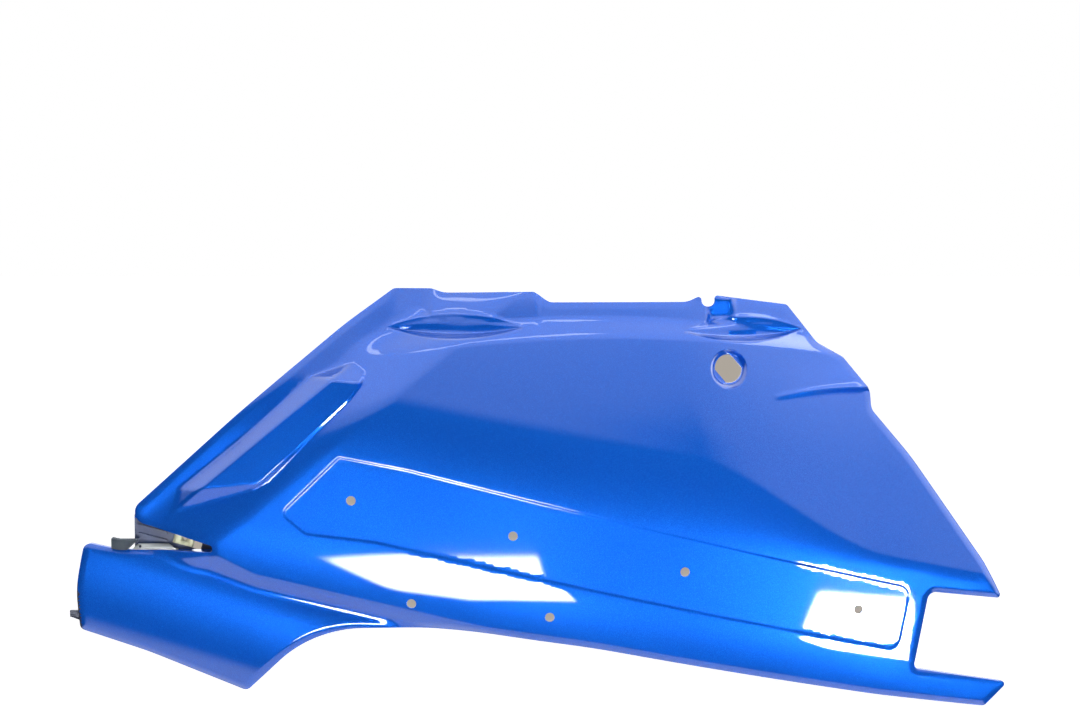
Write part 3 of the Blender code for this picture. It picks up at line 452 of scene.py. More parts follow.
# %% The finished face, its wall and its slopes
RECESS_STEP, RECESS_EDGE = 0.8, 3.2
TRIM_HOLE_D = 9.0
TRIM_HOLES = ((187, 37), (341, 3), (506, -34), (679, -77), (244, -62), (376, -75))
LOCK = np.array((555.0, 156.5))
LOCK_MOUTH_R, LOCK_FLOOR_R, LOCK_DEPTH, LOCK_EDGE_R = 19.0, 15.5, 7.0, 0.8
LOCK_HOLE_R, LOCK_FLAT, LOCK_TURN_DEG = 13.8, 11.0, 40.0
TAB_SEAT, TONGUE_SEAT = (551.0, 216.0, 6.5, 6.5), (238.0, 226.0, 10.0, 6.0)
SEAT_BLEND = 12.0
ROLL_WIDTH = 8.0
MOST_LEAN = 2.2


def tangent_plane(x, z):
    """A place on the plain form, its depth there and its slopes along x and z."""
    fx = float(plain_form(x + 1, z) - plain_form(x - 1, z)) / 2
    fz = float(plain_form(x, z + 1) - plain_form(x, z - 1)) / 2
    return x, z, float(plain_form(x, z)), fx, fz


def plane_depth(plane, x, z):
    at_x, at_z, depth, fx, fz = plane
    return depth + fx * (x - at_x) + fz * (z - at_z)


tab_plane = (TAB_SEAT[0], TAB_SEAT[1], float(plain_form(TAB_SEAT[0], TAB_SEAT[1])), 0.0, 0.0)
seats = ((TAB_SEAT, tab_plane), (TONGUE_SEAT, tangent_plane(*TONGUE_SEAT[:2])))
lock_plane = tangent_plane(*LOCK)


def outer_depth(x, z):
    """Depth of the painted face, for arrays of x and z."""
    y = plain_form(x, z)
    distance, _ = to_loop(x, z, recess_edge)
    y = y + RECESS_STEP * smooth(np.where(inside(x, z, recess_edge), distance, 0) / RECESS_EDGE)
    distance, values = to_loop(x, z, edge)
    y = y + values[:, 1] * (1 - np.minimum(distance / ROLL_WIDTH, 1)) ** 2
    from_lock = np.hypot(x - LOCK[0], z - LOCK[1])
    cup = plane_depth(lock_plane, x, z) + LOCK_DEPTH
    cone_slope = LOCK_DEPTH / (LOCK_MOUTH_R - LOCK_FLOOR_R)
    y = deeper(y, cup - cone_slope * np.maximum(from_lock - LOCK_FLOOR_R, 0), LOCK_EDGE_R)
    y = np.where(from_lock < LOCK_FLOOR_R, cup, y)
    for (sx, sz, half_x, half_z), plane in seats:
        away = np.maximum(np.maximum(np.abs(x - sx) - half_x, np.abs(z - sz) - half_z), 0)
        y = y + (plane_depth(plane, x, z) - y) * (1 - smooth(away / SEAT_BLEND))
    return y + pockets(x, z)


def slopes(x, z, step=0.4):
    fx = (outer_depth(x + step, z) - outer_depth(x - step, z)) / (2 * step)
    fz = (outer_depth(x, z + step) - outer_depth(x, z - step)) / (2 * step)
    return fx, fz


def wall_depth(x, z, share=1.0):
    fx, fz = slopes(x, z)
    return outer_depth(x, z) + share * WALL * np.minimum(np.sqrt(1 + fx**2 + fz**2), MOST_LEAN)


print("the lock cup starts at a depth of", round(lock_plane[2], 1), "mm")

# %% [markdown]
# ## A mesh that follows the creases
#
# A plain grid would blur the creases, so the mesh is a Delaunay triangulation of a fine grid, with
# lines laid along the creases first. `delaunay_2d_cdt` keeps those lines as edges. Remeshing a
# coarse model could be quicker to write, but it rounds what should be crisp. Each crease gets a few
# lines side by side, because a reflection bends within its small radius.

# %% Lines along the creases
FOLD_SPAN, VALLEY_SPAN = (52.0, 440.0), (-19.0, 316.0)
SHOULDER_SPAN, RAIL_FOOT_SPAN, BROW_SPAN = (200.0, 655.0), (215.0, 625.0), (602.0, 706.0)
LOCK_SIDES, LOCK_FLOOR_ROWS, LOCK_MOUTH_ROWS = 96, (0.0, 0.5, 1.5), (-1.2, -0.6, 0.0, 0.6, 1.2)
FLANK_FOOT_ROWS, POCKET_TOP_ROWS = (-1.2, 0.0, 1.2), (-0.1, -0.05, 0.0, 0.05, 0.1, 0.3, 0.5)
BROW_CREST_UP, BROW_CREST_HALF = 5.5, 2.5


def ring(centre, radius, sides, turn=0.0):
    angles = turn + 2 * math.pi * np.arange(sides) / sides
    return np.stack([centre[0] + radius * np.cos(angles), centre[1] + radius * np.sin(angles)], 1)


def across_span(span, height, spacing):
    xs = np.linspace(*span, math.ceil((span[1] - span[0]) / spacing) + 1)
    return np.stack([xs, height(xs)], 1)


def meeting(starts, ways, reach, gap):
    """Where the gap first turns positive on the way out from each start."""
    out = np.arange(0.0, reach, 0.25)[:, None]
    found = []
    for start, way in zip(starts, ways):
        places = start + out * way
        past = gap(*places.T) > 0
        if past.any():
            found.append(places[past.argmax()])
    return np.array(found)


def convex_ring(corners, grow, spacing):
    """A clockwise convex polygon grown by a distance on every side, as evenly spaced points."""
    corners = np.array(corners)
    ahead = np.roll(corners, -1, axis=0) - corners
    ahead /= np.hypot(*ahead.T)[:, None]
    outward = np.stack([ahead[:, 1], -ahead[:, 0]], 1)
    middle = outward + np.roll(outward, 1, axis=0)
    middle /= (middle * outward).sum(1)[:, None]
    return spaced([tuple(c) for c in corners + middle * grow], spacing)


def pad_lines(rows, spacing):
    foot, along, across = front_frame()
    lines = []
    for share in rows:
        grown = convex_ring(PAD, share * PAD_EDGE_R, spacing)
        lines.append(foot + grown[:, :1] * along + grown[:, 1:] * across)
    middle = np.array(PAD).mean(axis=0)
    centre = foot + middle[0] * along + middle[1] * across
    ways = lines[-1] - centre
    ways /= np.hypot(*ways.T)[:, None]
    flank_foot = meeting(lines[-1], ways, 60.0, lambda x, z: scoop(x, z) - side(x, z))
    ways = flank_foot - centre
    ways /= np.hypot(*ways.T)[:, None]
    lines += [flank_foot + ways * row for row in FLANK_FOOT_ROWS]
    return lines


def seat_box(seat, grow, spacing):
    x, z, half_x, half_z = seat
    signs = ((-1, -1), (1, -1), (1, 1), (-1, 1))
    return spaced([(x + sx * (half_x + grow), z + sz * (half_z + grow)) for sx, sz in signs], spacing)


def pocket_line(pocket, share, spacing):
    """A line across a pocket, at a share of the way from its upper edge to its lower one."""
    px, _, half_length = pocket

    def height(x):
        top, bottom, _ = pocket_limits(pocket, x)
        return top + share * (bottom - top)

    return across_span((px - half_length, px + half_length), height, spacing)


def creases(spacing, rows):
    """Lines on the face: those that close and those that don't, with so many rows to each crease."""
    across = np.linspace(-1, 1, rows)
    within = np.linspace(0, 1, rows)
    closed = [inset(recess_edge, share * RECESS_EDGE) for share in within]
    closed += pad_lines(across, spacing)
    closed += [ring(LOCK, LOCK_FLOOR_R + row, LOCK_SIDES) for row in LOCK_FLOOR_ROWS]
    closed += [ring(LOCK, LOCK_MOUTH_R + row, LOCK_SIDES) for row in LOCK_MOUTH_ROWS]
    closed += [seat_box(seat, share * SEAT_BLEND, spacing) for seat, _ in seats for share in within]
    closed += [inset(edge, share * ROLL_WIDTH) for share in within[1:]]
    starts = across_span(VALLEY_SPAN, lambda x: height_on(x, FOLD) - FOLD_R, spacing)
    ways = np.tile((0.0, -1.0), (len(starts), 1))
    valley = meeting(starts, ways, 60.0, lambda x, z: folded(x, z) - ear(x, z))
    opened = [valley + (0, share * VALLEY_R) for share in across]
    shares = (*POCKET_TOP_ROWS, *(POCKET_DEEPEST + within * (1 - POCKET_DEEPEST)))
    opened += [pocket_line(pocket, share, spacing) for pocket in POCKETS for share in shares]
    opened.append(across_span(SHOULDER_SPAN, lambda x: bowed(x, SHOULDER), spacing))
    opened.append(across_span(RAIL_FOOT_SPAN, lambda x: bowed(x, RAIL_FOOT), spacing))
    for share in across:
        opened.append(across_span(BROW_SPAN, lambda x: brow_line(x) + share * BROW_WALL / 2, spacing))
        up = BROW_CREST_UP + share * BROW_CREST_HALF
        opened.append(across_span(BROW_SPAN, lambda x: brow_line(x) + up, spacing))
        opened.append(across_span(FOLD_SPAN, lambda x: height_on(x, FOLD) + share * FOLD_R, spacing))
    return closed, opened


def lock_hole():
    """A round hole with two flats, which keep the lock from turning."""
    reach = math.acos(LOCK_FLAT / LOCK_HOLE_R)
    angles = np.linspace(reach, math.pi - reach, 21)
    arc = LOCK_HOLE_R * np.stack([np.cos(angles), np.sin(angles)], 1)
    turn = math.radians(LOCK_TURN_DEG)
    c, s = math.cos(turn), math.sin(turn)
    return np.concatenate([arc, -arc]) @ np.array([(c, s), (-s, c)]) + LOCK


# %% [markdown]
# The triangulation runs twice, fine for the painted face and coarser for the inner one. Points too
# near to a line or an edge are left out, so that no sliver of a triangle spoils the reflections.

# %% Triangulate the side view
def triangulated(boundary, holes, spacing, rows):
    loops = [boundary, *holes]
    points, links = [], []
    for loop in loops:
        first = len(points)
        points += [tuple(p) for p in loop]
        links += [(first + i, first + (i + 1) % len(loop)) for i in range(len(loop))]

    def clear(p, gap):
        good = inside(p[:, 0], p[:, 1], boundary)
        for hole in holes:
            good &= ~inside(p[:, 0], p[:, 1], hole)
        for loop in loops:
            good &= to_loop(p[:, 0], p[:, 1], loop)[0] > gap
        return good

    closed, opened = creases(spacing, rows)
    crowded = KDTree(200000)
    count_in = 0
    for line, count in [(c, len(c)) for c in closed] + [(o, len(o) - 1) for o in opened]:
        crowded.balance()
        free = clear(line, 0.25 * spacing)
        place = {}
        for i in np.nonzero(free)[0]:
            nearest = crowded.find((*line[i], 0))[2] if count_in else None
            if nearest is not None and nearest < 0.08 * spacing:
                continue
            place[i] = len(points)
            points.append(tuple(line[i]))
        for i in place:
            crowded.insert((*line[i], 0), count_in)
            count_in += 1
        for i in range(count):
            j = (i + 1) % len(line)
            if i in place and j in place:
                links.append((place[i], place[j]))

    taken = KDTree(len(points))
    for i, p in enumerate(points):
        taken.insert((*p, 0), i)
    taken.balance()
    low, high = edge[:, :2].min(axis=0), edge[:, :2].max(axis=0)
    row_height = spacing * math.sqrt(3) / 2
    levels = np.arange(int((high[1] - low[1]) / row_height) + 1)
    columns = np.arange(int((high[0] - low[0]) / spacing) + 1)
    column, level = np.meshgrid(columns, levels)
    x = low[0] + (column + 0.5 * (level % 2)) * spacing
    grid = np.stack([x.ravel(), (low[1] + level * row_height).ravel()], 1)
    grid = grid[clear(grid, 0.45 * spacing)]
    points += [tuple(p) for p in grid if taken.find((*p, 0))[2] > 0.55 * spacing]

    flat, _, faces, came_from, _, _ = delaunay_2d_cdt(points, links, [], 1, 1e-4)
    flat = np.array([tuple(p) for p in flat])
    place = {old: new for new, olds in enumerate(came_from) for old in olds}
    faces = np.array([tuple(f) for f in faces])
    middles = flat[faces].mean(axis=1)
    keep = np.ones(len(faces), bool)
    for hole in holes:
        keep &= ~inside(middles[:, 0], middles[:, 1], hole)
    numbered, start = [], 0
    for loop in loops:
        numbered.append([place[start + i] for i in range(len(loop))])
        start += len(loop)
    return flat, faces[keep], numbered


# %% [markdown]
# The shell is closed by walls: round each hole from the outer face to the inner one, and round the
# outline as a return that turns back from the face. A moulded edge is never knife sharp, so the
# face stops short of the outline and an arc of three steps carries it round.

# %% Build the shell
FINE, COARSE = 3.0, 6.0
EDGE_ROUND = 1.0
LEAST_RETURN = 0.5


def mesh_from(name, points, faces):
    mesh = bpy.data.meshes.new(name)
    mesh.from_pydata(scene_points(points).tolist(), [], faces)
    mesh.validate()
    bm = bmesh.new()
    bm.from_mesh(mesh)
    bmesh.ops.triangulate(bm, faces=bm.faces)
    bmesh.ops.recalc_face_normals(bm, faces=bm.faces)
    bm.to_mesh(mesh)
    bm.free()
    return mesh


def shell():
    holes = [ring(place, TRIM_HOLE_D / 2, 36) for place in TRIM_HOLES] + [lock_hole()]
    inner_edge = inset(edge, WALL)
    outer, outer_faces, outer_loops = triangulated(inset(edge, EDGE_ROUND), holes, FINE, 6)
    inner, inner_faces, inner_loops = triangulated(inner_edge, holes, COARSE, 2)
    points = [(x, y, z) for (x, z), y in zip(outer, outer_depth(*outer.T))]
    first_inner = len(points)
    points += [(x, y, z) for (x, z), y in zip(inner, wall_depth(*inner.T))]
    faces = [tuple(int(i) for i in f) for f in outer_faces]
    faces += [tuple(first_inner + int(i) for i in reversed(f)) for f in inner_faces]
    inner_rims = [[first_inner + i for i in loop] for loop in inner_loops]

    face_edge = np.array([points[i][1] for i in outer_loops[0]])
    returns = [outer_loops[0]]
    for turn in (30, 60, 90):
        at = inset(edge, EDGE_ROUND * (1 - math.sin(math.radians(turn))))
        down = EDGE_ROUND * (1 - math.cos(math.radians(turn)))
        returns.append(range(len(points), len(points) + len(at)))
        points += [(x, y, z) for (x, z), y in zip(at, face_edge + down)]
    inner_depths = np.array([points[i][1] for i in inner_rims[0]])
    backs = np.maximum(face_edge + edge[:, 2], inner_depths + LEAST_RETURN)
    for at in (inset(edge, 0.0), inner_edge):
        returns.append(range(len(points), len(points) + len(at)))
        points += [(x, y, z) for (x, z), y in zip(at, backs)]
    returns.append(inner_rims[0])

    joins = list(zip(outer_loops[1:], inner_rims[1:])) + list(zip(returns, returns[1:]))
    for near, far in joins:
        for a in range(len(near)):
            b = (a + 1) % len(near)
            faces.append((near[b], near[a], far[a], far[b]))
    return mesh_from("panel_shell", points, faces)


shell_mesh = shell()
print("triangles in the shell:", len(shell_mesh.polygons))

# %% [markdown]
# ## What is moulded on the back
#
# The back is never seen on the scooter, and it is where the work is done: three pegs push into
# rubber bushes, ribs stiffen the long lower edge and the ear, and a plate behind the slot carries
# the clips. Each is a small solid that starts inside the wall. They are joined with one Boolean.

# %% Solids for the back
RIB_WIDTH = 2.4
SLOT_TOP = ((-35.2, 17.4), (54.5, -6.5))
RIM = ((-71.0, -5.3), (-37.0, -12.4), (54.5, -12.8))
HEEL, BOTTOM = OUTLINE[6:9], OUTLINE[9:14]
BRACKET_DEPTH, BRACKET_WALL, BRACKET_OVERLAP = 22.0, 2.4, 5.0
BRACKET_SPAN, SHELF_FRONT_X, SHELF_DROP = (-24.0, 60.0), -45.0, 0.2
TRACK_HEIGHT, TRACK_DROPS, TRACK_SPAN = 2.0, (3.0, 11.0), (-20.0, 8.0)
LOWER_RIB_SPAN, LOWER_RIB_RISE, LOWER_RIB_HEIGHT = (215.0, 690.0), 16.0, 9.0
EAR_RIBS_X, EAR_RIB_HEIGHT, EAR_RIB_FROM_EDGES = (-30.0, 20.0, 62.0), 8.0, 12.0
HOOK_X, HOOK_REACH, HOOK_Z, HOOK_SLANT = -74.5, 14.0, (-84.5, -73.5), 5.0
HOOK_SET_BACK, HOOK_THICK = 3.0, 3.5


def lofted(name, rings):
    """A solid through rings of equally many (x, depth, z) points, capped at both ends."""
    count = len(rings[0])
    points = [tuple(p) for points_round in rings for p in points_round]
    last = len(points) - count
    faces = [tuple(range(count)), tuple(range(last, last + count))]
    for first in range(0, last, count):
        for i in range(count):
            j = (i + 1) % count
            faces.append((first + i, first + j, first + count + j, first + count + i))
    return mesh_from(name, points, faces)


def at_depth(loop, depths):
    depths = np.broadcast_to(depths, (len(loop),))
    return [(x, y, z) for (x, z), y in zip(loop, depths)]


def prism(name, loop, near, far):
    return lofted(name, [at_depth(loop, near), at_depth(loop, far)])


def rib(name, path, top):
    ahead = np.gradient(path, axis=0)
    ahead /= np.hypot(*ahead.T)[:, None]
    across = np.stack([-ahead[:, 1], ahead[:, 0]], 1) * RIB_WIDTH / 2
    left, right = path + across, path - across
    sides = [at_depth(left, wall_depth(*left.T, 0.5)), at_depth(right, wall_depth(*right.T, 0.5))]
    sides += [at_depth(right, top), at_depth(left, top)]
    return lofted(name, list(zip(*sides)))


def back_solids():
    into_plate = BRACKET_DEPTH + BRACKET_WALL / 2
    shelf_drop = SHELF_DROP + RIB_WIDTH / 2
    upper = [(x, height_on(x, SLOT_TOP) + BRACKET_OVERLAP + RIB_WIDTH / 2) for x in BRACKET_SPAN]
    lower = [(x, height_on(x, RIM) - shelf_drop - RIB_WIDTH / 2) for x in BRACKET_SPAN]
    web_span = (BRACKET_SPAN[0] + RIB_WIDTH / 2, BRACKET_SPAN[1] - RIB_WIDTH / 2)
    web = across_span(web_span, lambda x: height_on(x, SLOT_TOP) + BRACKET_OVERLAP, COARSE)
    shelf = across_span((SHELF_FRONT_X, web_span[1]), lambda x: height_on(x, RIM) - shelf_drop, COARSE)
    solids = [prism("bracket_plate", [*lower, *reversed(upper)], BRACKET_DEPTH, BRACKET_DEPTH + BRACKET_WALL)]
    solids += [rib("bracket_web", web, into_plate), rib("bracket_shelf", shelf, into_plate)]
    for drop in TRACK_DROPS:
        middle = np.array([(x, height_on(x, SLOT_TOP) - drop) for x in TRACK_SPAN])
        half = np.array((0, RIB_WIDTH / 2))
        track = np.concatenate([middle - half, (middle + half)[::-1]])
        solids.append(prism("bracket_track", track, BRACKET_DEPTH - TRACK_HEIGHT, into_plate))
    low_rib = across_span(LOWER_RIB_SPAN, lambda x: height_on(x, BOTTOM) + LOWER_RIB_RISE, COARSE)
    solids.append(rib("lower_rib", low_rib, wall_depth(*low_rib.T) + LOWER_RIB_HEIGHT))
    for x in EAR_RIBS_X:
        low, high = height_on(x, HEEL) + EAR_RIB_FROM_EDGES, height_on(x, RIM) - EAR_RIB_FROM_EDGES
        zs = np.linspace(low, high, math.ceil((high - low) / COARSE) + 1)
        path = np.stack([np.full(zs.shape, x), zs], 1)
        solids.append(rib("ear_rib", path, wall_depth(*path.T) + EAR_RIB_HEIGHT))
    low, high = HOOK_Z
    near = float(outer_depth(np.array([HOOK_X]), np.array([(low + high) / 2]))[0]) + HOOK_SET_BACK
    tip = HOOK_X - HOOK_REACH
    hook = [(HOOK_X, low), (tip, low + HOOK_SLANT), (tip, high), (HOOK_X, high)]
    solids.append(prism("hook", hook, near, near + HOOK_THICK))
    return solids


# %% [markdown]
# ## Pegs with Geometry Nodes
#
# The three pegs are one shape repeated, which is what instancing is for. The tree takes a mesh of
# bare points, puts a peg with its cross of webs on each, and makes the copies real. The wall leans,
# so each point also carries its own place and lean, and the tree shears the roots into the wall.
# The sizes are named inputs of the tree; the modifier that runs it is applied, and the object goes.

# %% A node tree that stands a peg on each point
PEGS = ((250.0, 130.0), (470.0, 110.0), (690.0, 10.0))
PEG_SIZES = {
    "Radius": 5.0,
    "Tip Radius": 4.0,
    "Length": 16.0,
    "Chamfer": 2.0,
    "Root": 1.3,
    "Web": 9.0,
    "Web Width": 2.4,
}


def link(tree, *pairs):
    for start, end in pairs:
        tree.links.new(start, end)


def reckoned(tree, kind, *values, node="ShaderNodeMath"):
    """A math node on numbers and sockets."""
    made = tree.nodes.new(node)
    made.operation = kind
    for socket, value in zip(made.inputs, values):
        if isinstance(value, (int, float)):
            socket.default_value = value
        else:
            tree.links.new(value, socket)
    return made.outputs["Value" if kind == "DOT_PRODUCT" else 0]


def tree_with(name, sizes, takes_geometry=True):
    tree = bpy.data.node_groups.new(name, "GeometryNodeTree")
    if takes_geometry:
        tree.interface.new_socket("Geometry", in_out="INPUT", socket_type="NodeSocketGeometry")
    for size in sizes:
        tree.interface.new_socket(size, in_out="INPUT", socket_type="NodeSocketFloat")
    tree.interface.new_socket("Geometry", in_out="OUTPUT", socket_type="NodeSocketGeometry")
    return tree, tree.nodes.new("NodeGroupInput").outputs, tree.nodes.new("NodeGroupOutput")


def peg_shape(tree, given):
    """One peg that stands on z = 0 and is rooted below it."""
    root, length, chamfer, web = (given[name] for name in ("Root", "Length", "Chamfer", "Web"))

    def raised(mesh, height):
        shift, vector = tree.nodes.new("GeometryNodeTransform"), tree.nodes.new("ShaderNodeCombineXYZ")
        link(tree, (mesh, shift.inputs["Geometry"]), (height, vector.inputs["Z"]))
        link(tree, (vector.outputs[0], shift.inputs["Translation"]))
        return shift.outputs[0]

    def cone(top, height, foot):
        made = tree.nodes.new("GeometryNodeMeshCone")
        made.inputs["Vertices"].default_value = 32
        link(tree, (given["Radius"], made.inputs["Radius Bottom"]), (top, made.inputs["Radius Top"]))
        link(tree, (height, made.inputs["Depth"]))
        return raised(made.outputs["Mesh"], foot)

    def block(x, y):
        made, size = tree.nodes.new("GeometryNodeMeshCube"), tree.nodes.new("ShaderNodeCombineXYZ")
        height = reckoned(tree, "ADD", web, root)
        link(tree, (x, size.inputs["X"]), (y, size.inputs["Y"]), (height, size.inputs["Z"]))
        link(tree, (size.outputs[0], made.inputs["Size"]))
        middle = reckoned(tree, "MULTIPLY", reckoned(tree, "SUBTRACT", web, root), 0.5)
        return raised(made.outputs["Mesh"], middle)

    shoulder = reckoned(tree, "SUBTRACT", length, chamfer)
    shank_length, below = reckoned(tree, "ADD", shoulder, root), reckoned(tree, "MULTIPLY", root, -1.0)
    shank = cone(given["Radius"], shank_length, below)
    tip = cone(given["Tip Radius"], chamfer, shoulder)
    span = reckoned(tree, "MULTIPLY", web, 2.0)
    joined = tree.nodes.new("GeometryNodeMeshBoolean")
    joined.operation = "UNION"
    for part in (block(given["Web Width"], span), block(span, given["Web Width"]), tip, shank):
        tree.links.new(part, joined.inputs["Mesh 2"])
    return joined.outputs[0]


def peg_tree(material):
    tree, given, out = tree_with("Pegs on points", PEG_SIZES)
    node = tree.nodes.new
    on_points, real = node("GeometryNodeInstanceOnPoints"), node("GeometryNodeRealizeInstances")
    shear, finish = node("GeometryNodeSetPosition"), node("GeometryNodeSetMaterial")
    on_points.inputs["Rotation"].default_value = (math.radians(-90), 0, 0)
    finish.inputs["Material"].default_value = material
    stored = {}
    for name in ("foot", "lean"):
        reader = node("GeometryNodeInputNamedAttribute")
        reader.data_type = "FLOAT_VECTOR"
        reader.inputs["Name"].default_value = name
        stored[name] = reader.outputs["Attribute"]
    position, vector = node("GeometryNodeInputPosition").outputs[0], "ShaderNodeVectorMath"
    local = reckoned(tree, "SUBTRACT", position, stored["foot"], node=vector)
    lean = reckoned(tree, "DOT_PRODUCT", local, stored["lean"], node=vector)
    split, offset = node("ShaderNodeSeparateXYZ"), node("ShaderNodeCombineXYZ")
    rooted = reckoned(tree, "LESS_THAN", split.outputs["Y"], 0.0)
    link(tree, (local, split.inputs[0]), (lean, offset.inputs["Y"]))
    link(tree, (offset.outputs[0], shear.inputs["Offset"]), (rooted, shear.inputs["Selection"]))
    link(tree, (given["Geometry"], on_points.inputs["Points"]))
    link(tree, (peg_shape(tree, given), on_points.inputs["Instance"]))
    link(tree, (on_points.outputs[0], real.inputs[0]), (real.outputs[0], shear.inputs["Geometry"]))
    link(tree, (shear.outputs[0], finish.inputs["Geometry"]))
    link(tree, (finish.outputs[0], out.inputs[0]))
    return tree


def plain_mesh_of(obj):
    """The object's evaluated result as a mesh of its own; the object and its modifiers go."""
    graph = bpy.context.evaluated_depsgraph_get()
    mesh = bpy.data.meshes.new_from_object(obj.evaluated_get(graph))
    bpy.data.objects.remove(obj)
    return mesh


def run_tree(name, base_mesh, tree, sizes):
    obj = bpy.data.objects.new(name, base_mesh)
    bpy.context.scene.collection.objects.link(obj)
    modifier = obj.modifiers.new(name, "NODES")
    modifier.node_group = tree
    for item in tree.interface.items_tree:
        if item.in_out == "INPUT" and item.name in sizes:
            modifier[item.identifier] = sizes[item.name] * MM
    return plain_mesh_of(obj)


def peg_mesh(material):
    x, z = np.array(PEGS).T
    feet = scene_points(np.stack([x, wall_depth(x, z), z], 1))
    fx, fz = slopes(x, z)
    points = bpy.data.meshes.new("peg_places")
    points.from_pydata(feet.tolist(), [], [])
    for name, values in (("foot", feet), ("lean", np.stack([fx, 0 * fx, fz], 1))):
        stored = points.attributes.new(name, "FLOAT_VECTOR", "POINT")
        stored.data.foreach_set("vector", values.astype(np.float32).ravel())
    mesh = run_tree("pegs", points, peg_tree(material), PEG_SIZES)
    print("three pegs have", len(mesh.polygons), "faces")
    return mesh


# %% [markdown]
# ## Handling marks, shared by every finish
#
# A used part is never even: it has faint clouds of dust and fingerprints, and fine wipe marks. One
# node group makes both masks from Object coordinates, so they stay on the part when it turns. Each
# material then decides what they do to its colour and roughness.

# %% The shared group
def noise(tree, vector, scale, detail=3.0, rough=0.5, stretch=None):
    made = tree.nodes.new("ShaderNodeTexNoise")
    made.inputs["Scale"].default_value = scale
    made.inputs["Detail"].default_value = detail
    made.inputs["Roughness"].default_value = rough
    if stretch:
        mapping = tree.nodes.new("ShaderNodeMapping")
        mapping.inputs["Scale"].default_value = stretch
        tree.links.new(vector, mapping.inputs["Vector"])
        vector = mapping.outputs["Vector"]
    tree.links.new(vector, made.inputs["Vector"])
    return made.outputs["Fac"]


def ramp(tree, value, start, end, low=0.0, high=1.0):
    made = tree.nodes.new("ShaderNodeMapRange")
    made.interpolation_type = "SMOOTHSTEP"
    for name, number in zip(("From Min", "From Max", "To Min", "To Max"), (start, end, low, high)):
        made.inputs[name].default_value = number
    tree.links.new(value, made.inputs["Value"])
    return made.outputs["Result"]


def marks_group():
    tree = bpy.data.node_groups.new("Handling marks", "ShaderNodeTree")
    tree.interface.new_socket("Cloud Size", in_out="INPUT", socket_type="NodeSocketFloat")
    tree.interface.new_socket("Clouds", in_out="OUTPUT", socket_type="NodeSocketFloat")
    tree.interface.new_socket("Wipes", in_out="OUTPUT", socket_type="NodeSocketFloat")
    given, out = tree.nodes.new("NodeGroupInput"), tree.nodes.new("NodeGroupOutput")
    place = tree.nodes.new("ShaderNodeTexCoord")
    scaled = tree.nodes.new("ShaderNodeVectorMath")
    scaled.operation = "SCALE"
    tree.links.new(place.outputs["Object"], scaled.inputs[0])
    tree.links.new(given.outputs["Cloud Size"], scaled.inputs["Scale"])
    clouds = ramp(tree, noise(tree, scaled.outputs[0], 1.0, detail=4.0), 0.45, 0.75)
    wipes = ramp(tree, noise(tree, scaled.outputs[0], 3.0, 2.0, 0.6, stretch=(0.35, 1.0, 3.0)), 0.5, 0.8)
    tree.links.new(clouds, out.inputs["Clouds"])
    tree.links.new(wipes, out.inputs["Wipes"])
    return tree


marks = marks_group()


def new_material(name):
    """An empty material with its Principled shader and object coordinates."""
    material = bpy.data.materials.new(name)
    material.use_nodes = True
    tree = material.node_tree
    place = tree.nodes.new("ShaderNodeTexCoord").outputs["Object"]
    return material, tree, tree.nodes["Principled BSDF"], place


def marked(tree, cloud_size):
    group = tree.nodes.new("ShaderNodeGroup")
    group.node_tree = marks
    group.inputs["Cloud Size"].default_value = cloud_size
    return group.outputs["Clouds"], group.outputs["Wipes"]


def mixed(tree, factor, low, high):
    made = tree.nodes.new("ShaderNodeMix")
    made.data_type = "RGBA"
    made.inputs["A"].default_value = (*low, 1)
    made.inputs["B"].default_value = (*high, 1)
    tree.links.new(factor, made.inputs["Factor"])
    return made.outputs["Result"]


def bumped(tree, shader, height, strength, distance):
    made = tree.nodes.new("ShaderNodeBump")
    made.inputs["Strength"].default_value = strength
    made.inputs["Distance"].default_value = distance
    tree.links.new(height, made.inputs["Height"])
    tree.links.new(made.outputs["Normal"], shader.inputs["Normal"])


# %% [markdown]
# ## Metallic blue paint
#
# Metallic paint is a coloured coat full of small flakes under clear lacquer. The base is part
# metal and fairly rough, because the flakes lie nearly flat but not quite. Voronoi cells a quarter
# of a millimetre across make some flakes paler. The lacquer is the shader's Coat: sharp and
# colourless, it carries the white windows that the photograph shows.

# %% Paint
def blue_paint():
    material, tree, shader, place = new_material("Metallic blue paint")
    flakes = tree.nodes.new("ShaderNodeTexVoronoi")
    flakes.inputs["Scale"].default_value = 3600.0
    tree.links.new(place, flakes.inputs["Vector"])
    sparkle = tree.nodes.new("ShaderNodeSeparateColor")
    tree.links.new(flakes.outputs["Color"], sparkle.inputs[0])
    flake = ramp(tree, sparkle.outputs[0], 0.55, 1.0)
    colour = mixed(tree, flake, (0.006, 0.098, 0.58), (0.012, 0.17, 0.76))
    tree.links.new(colour, shader.inputs["Base Color"])
    clouds, _ = marked(tree, 9.0)
    tree.links.new(ramp(tree, clouds, 0.0, 1.0, 0.40, 0.46), shader.inputs["Roughness"])
    shader.inputs["Metallic"].default_value = 0.24
    shader.inputs["Specular IOR Level"].default_value = 0.0
    shader.inputs["Coat Weight"].default_value = 1.0
    shader.inputs["Coat Roughness"].default_value = 0.025
    shader.inputs["Coat IOR"].default_value = 1.5
    return material


# %% [markdown]
# The inner side isn't painted. It is the bare plastic of the moulding, nearly black, with the fine
# grain that a mould's steel leaves and a mist of blue where spray drifted over the edge.

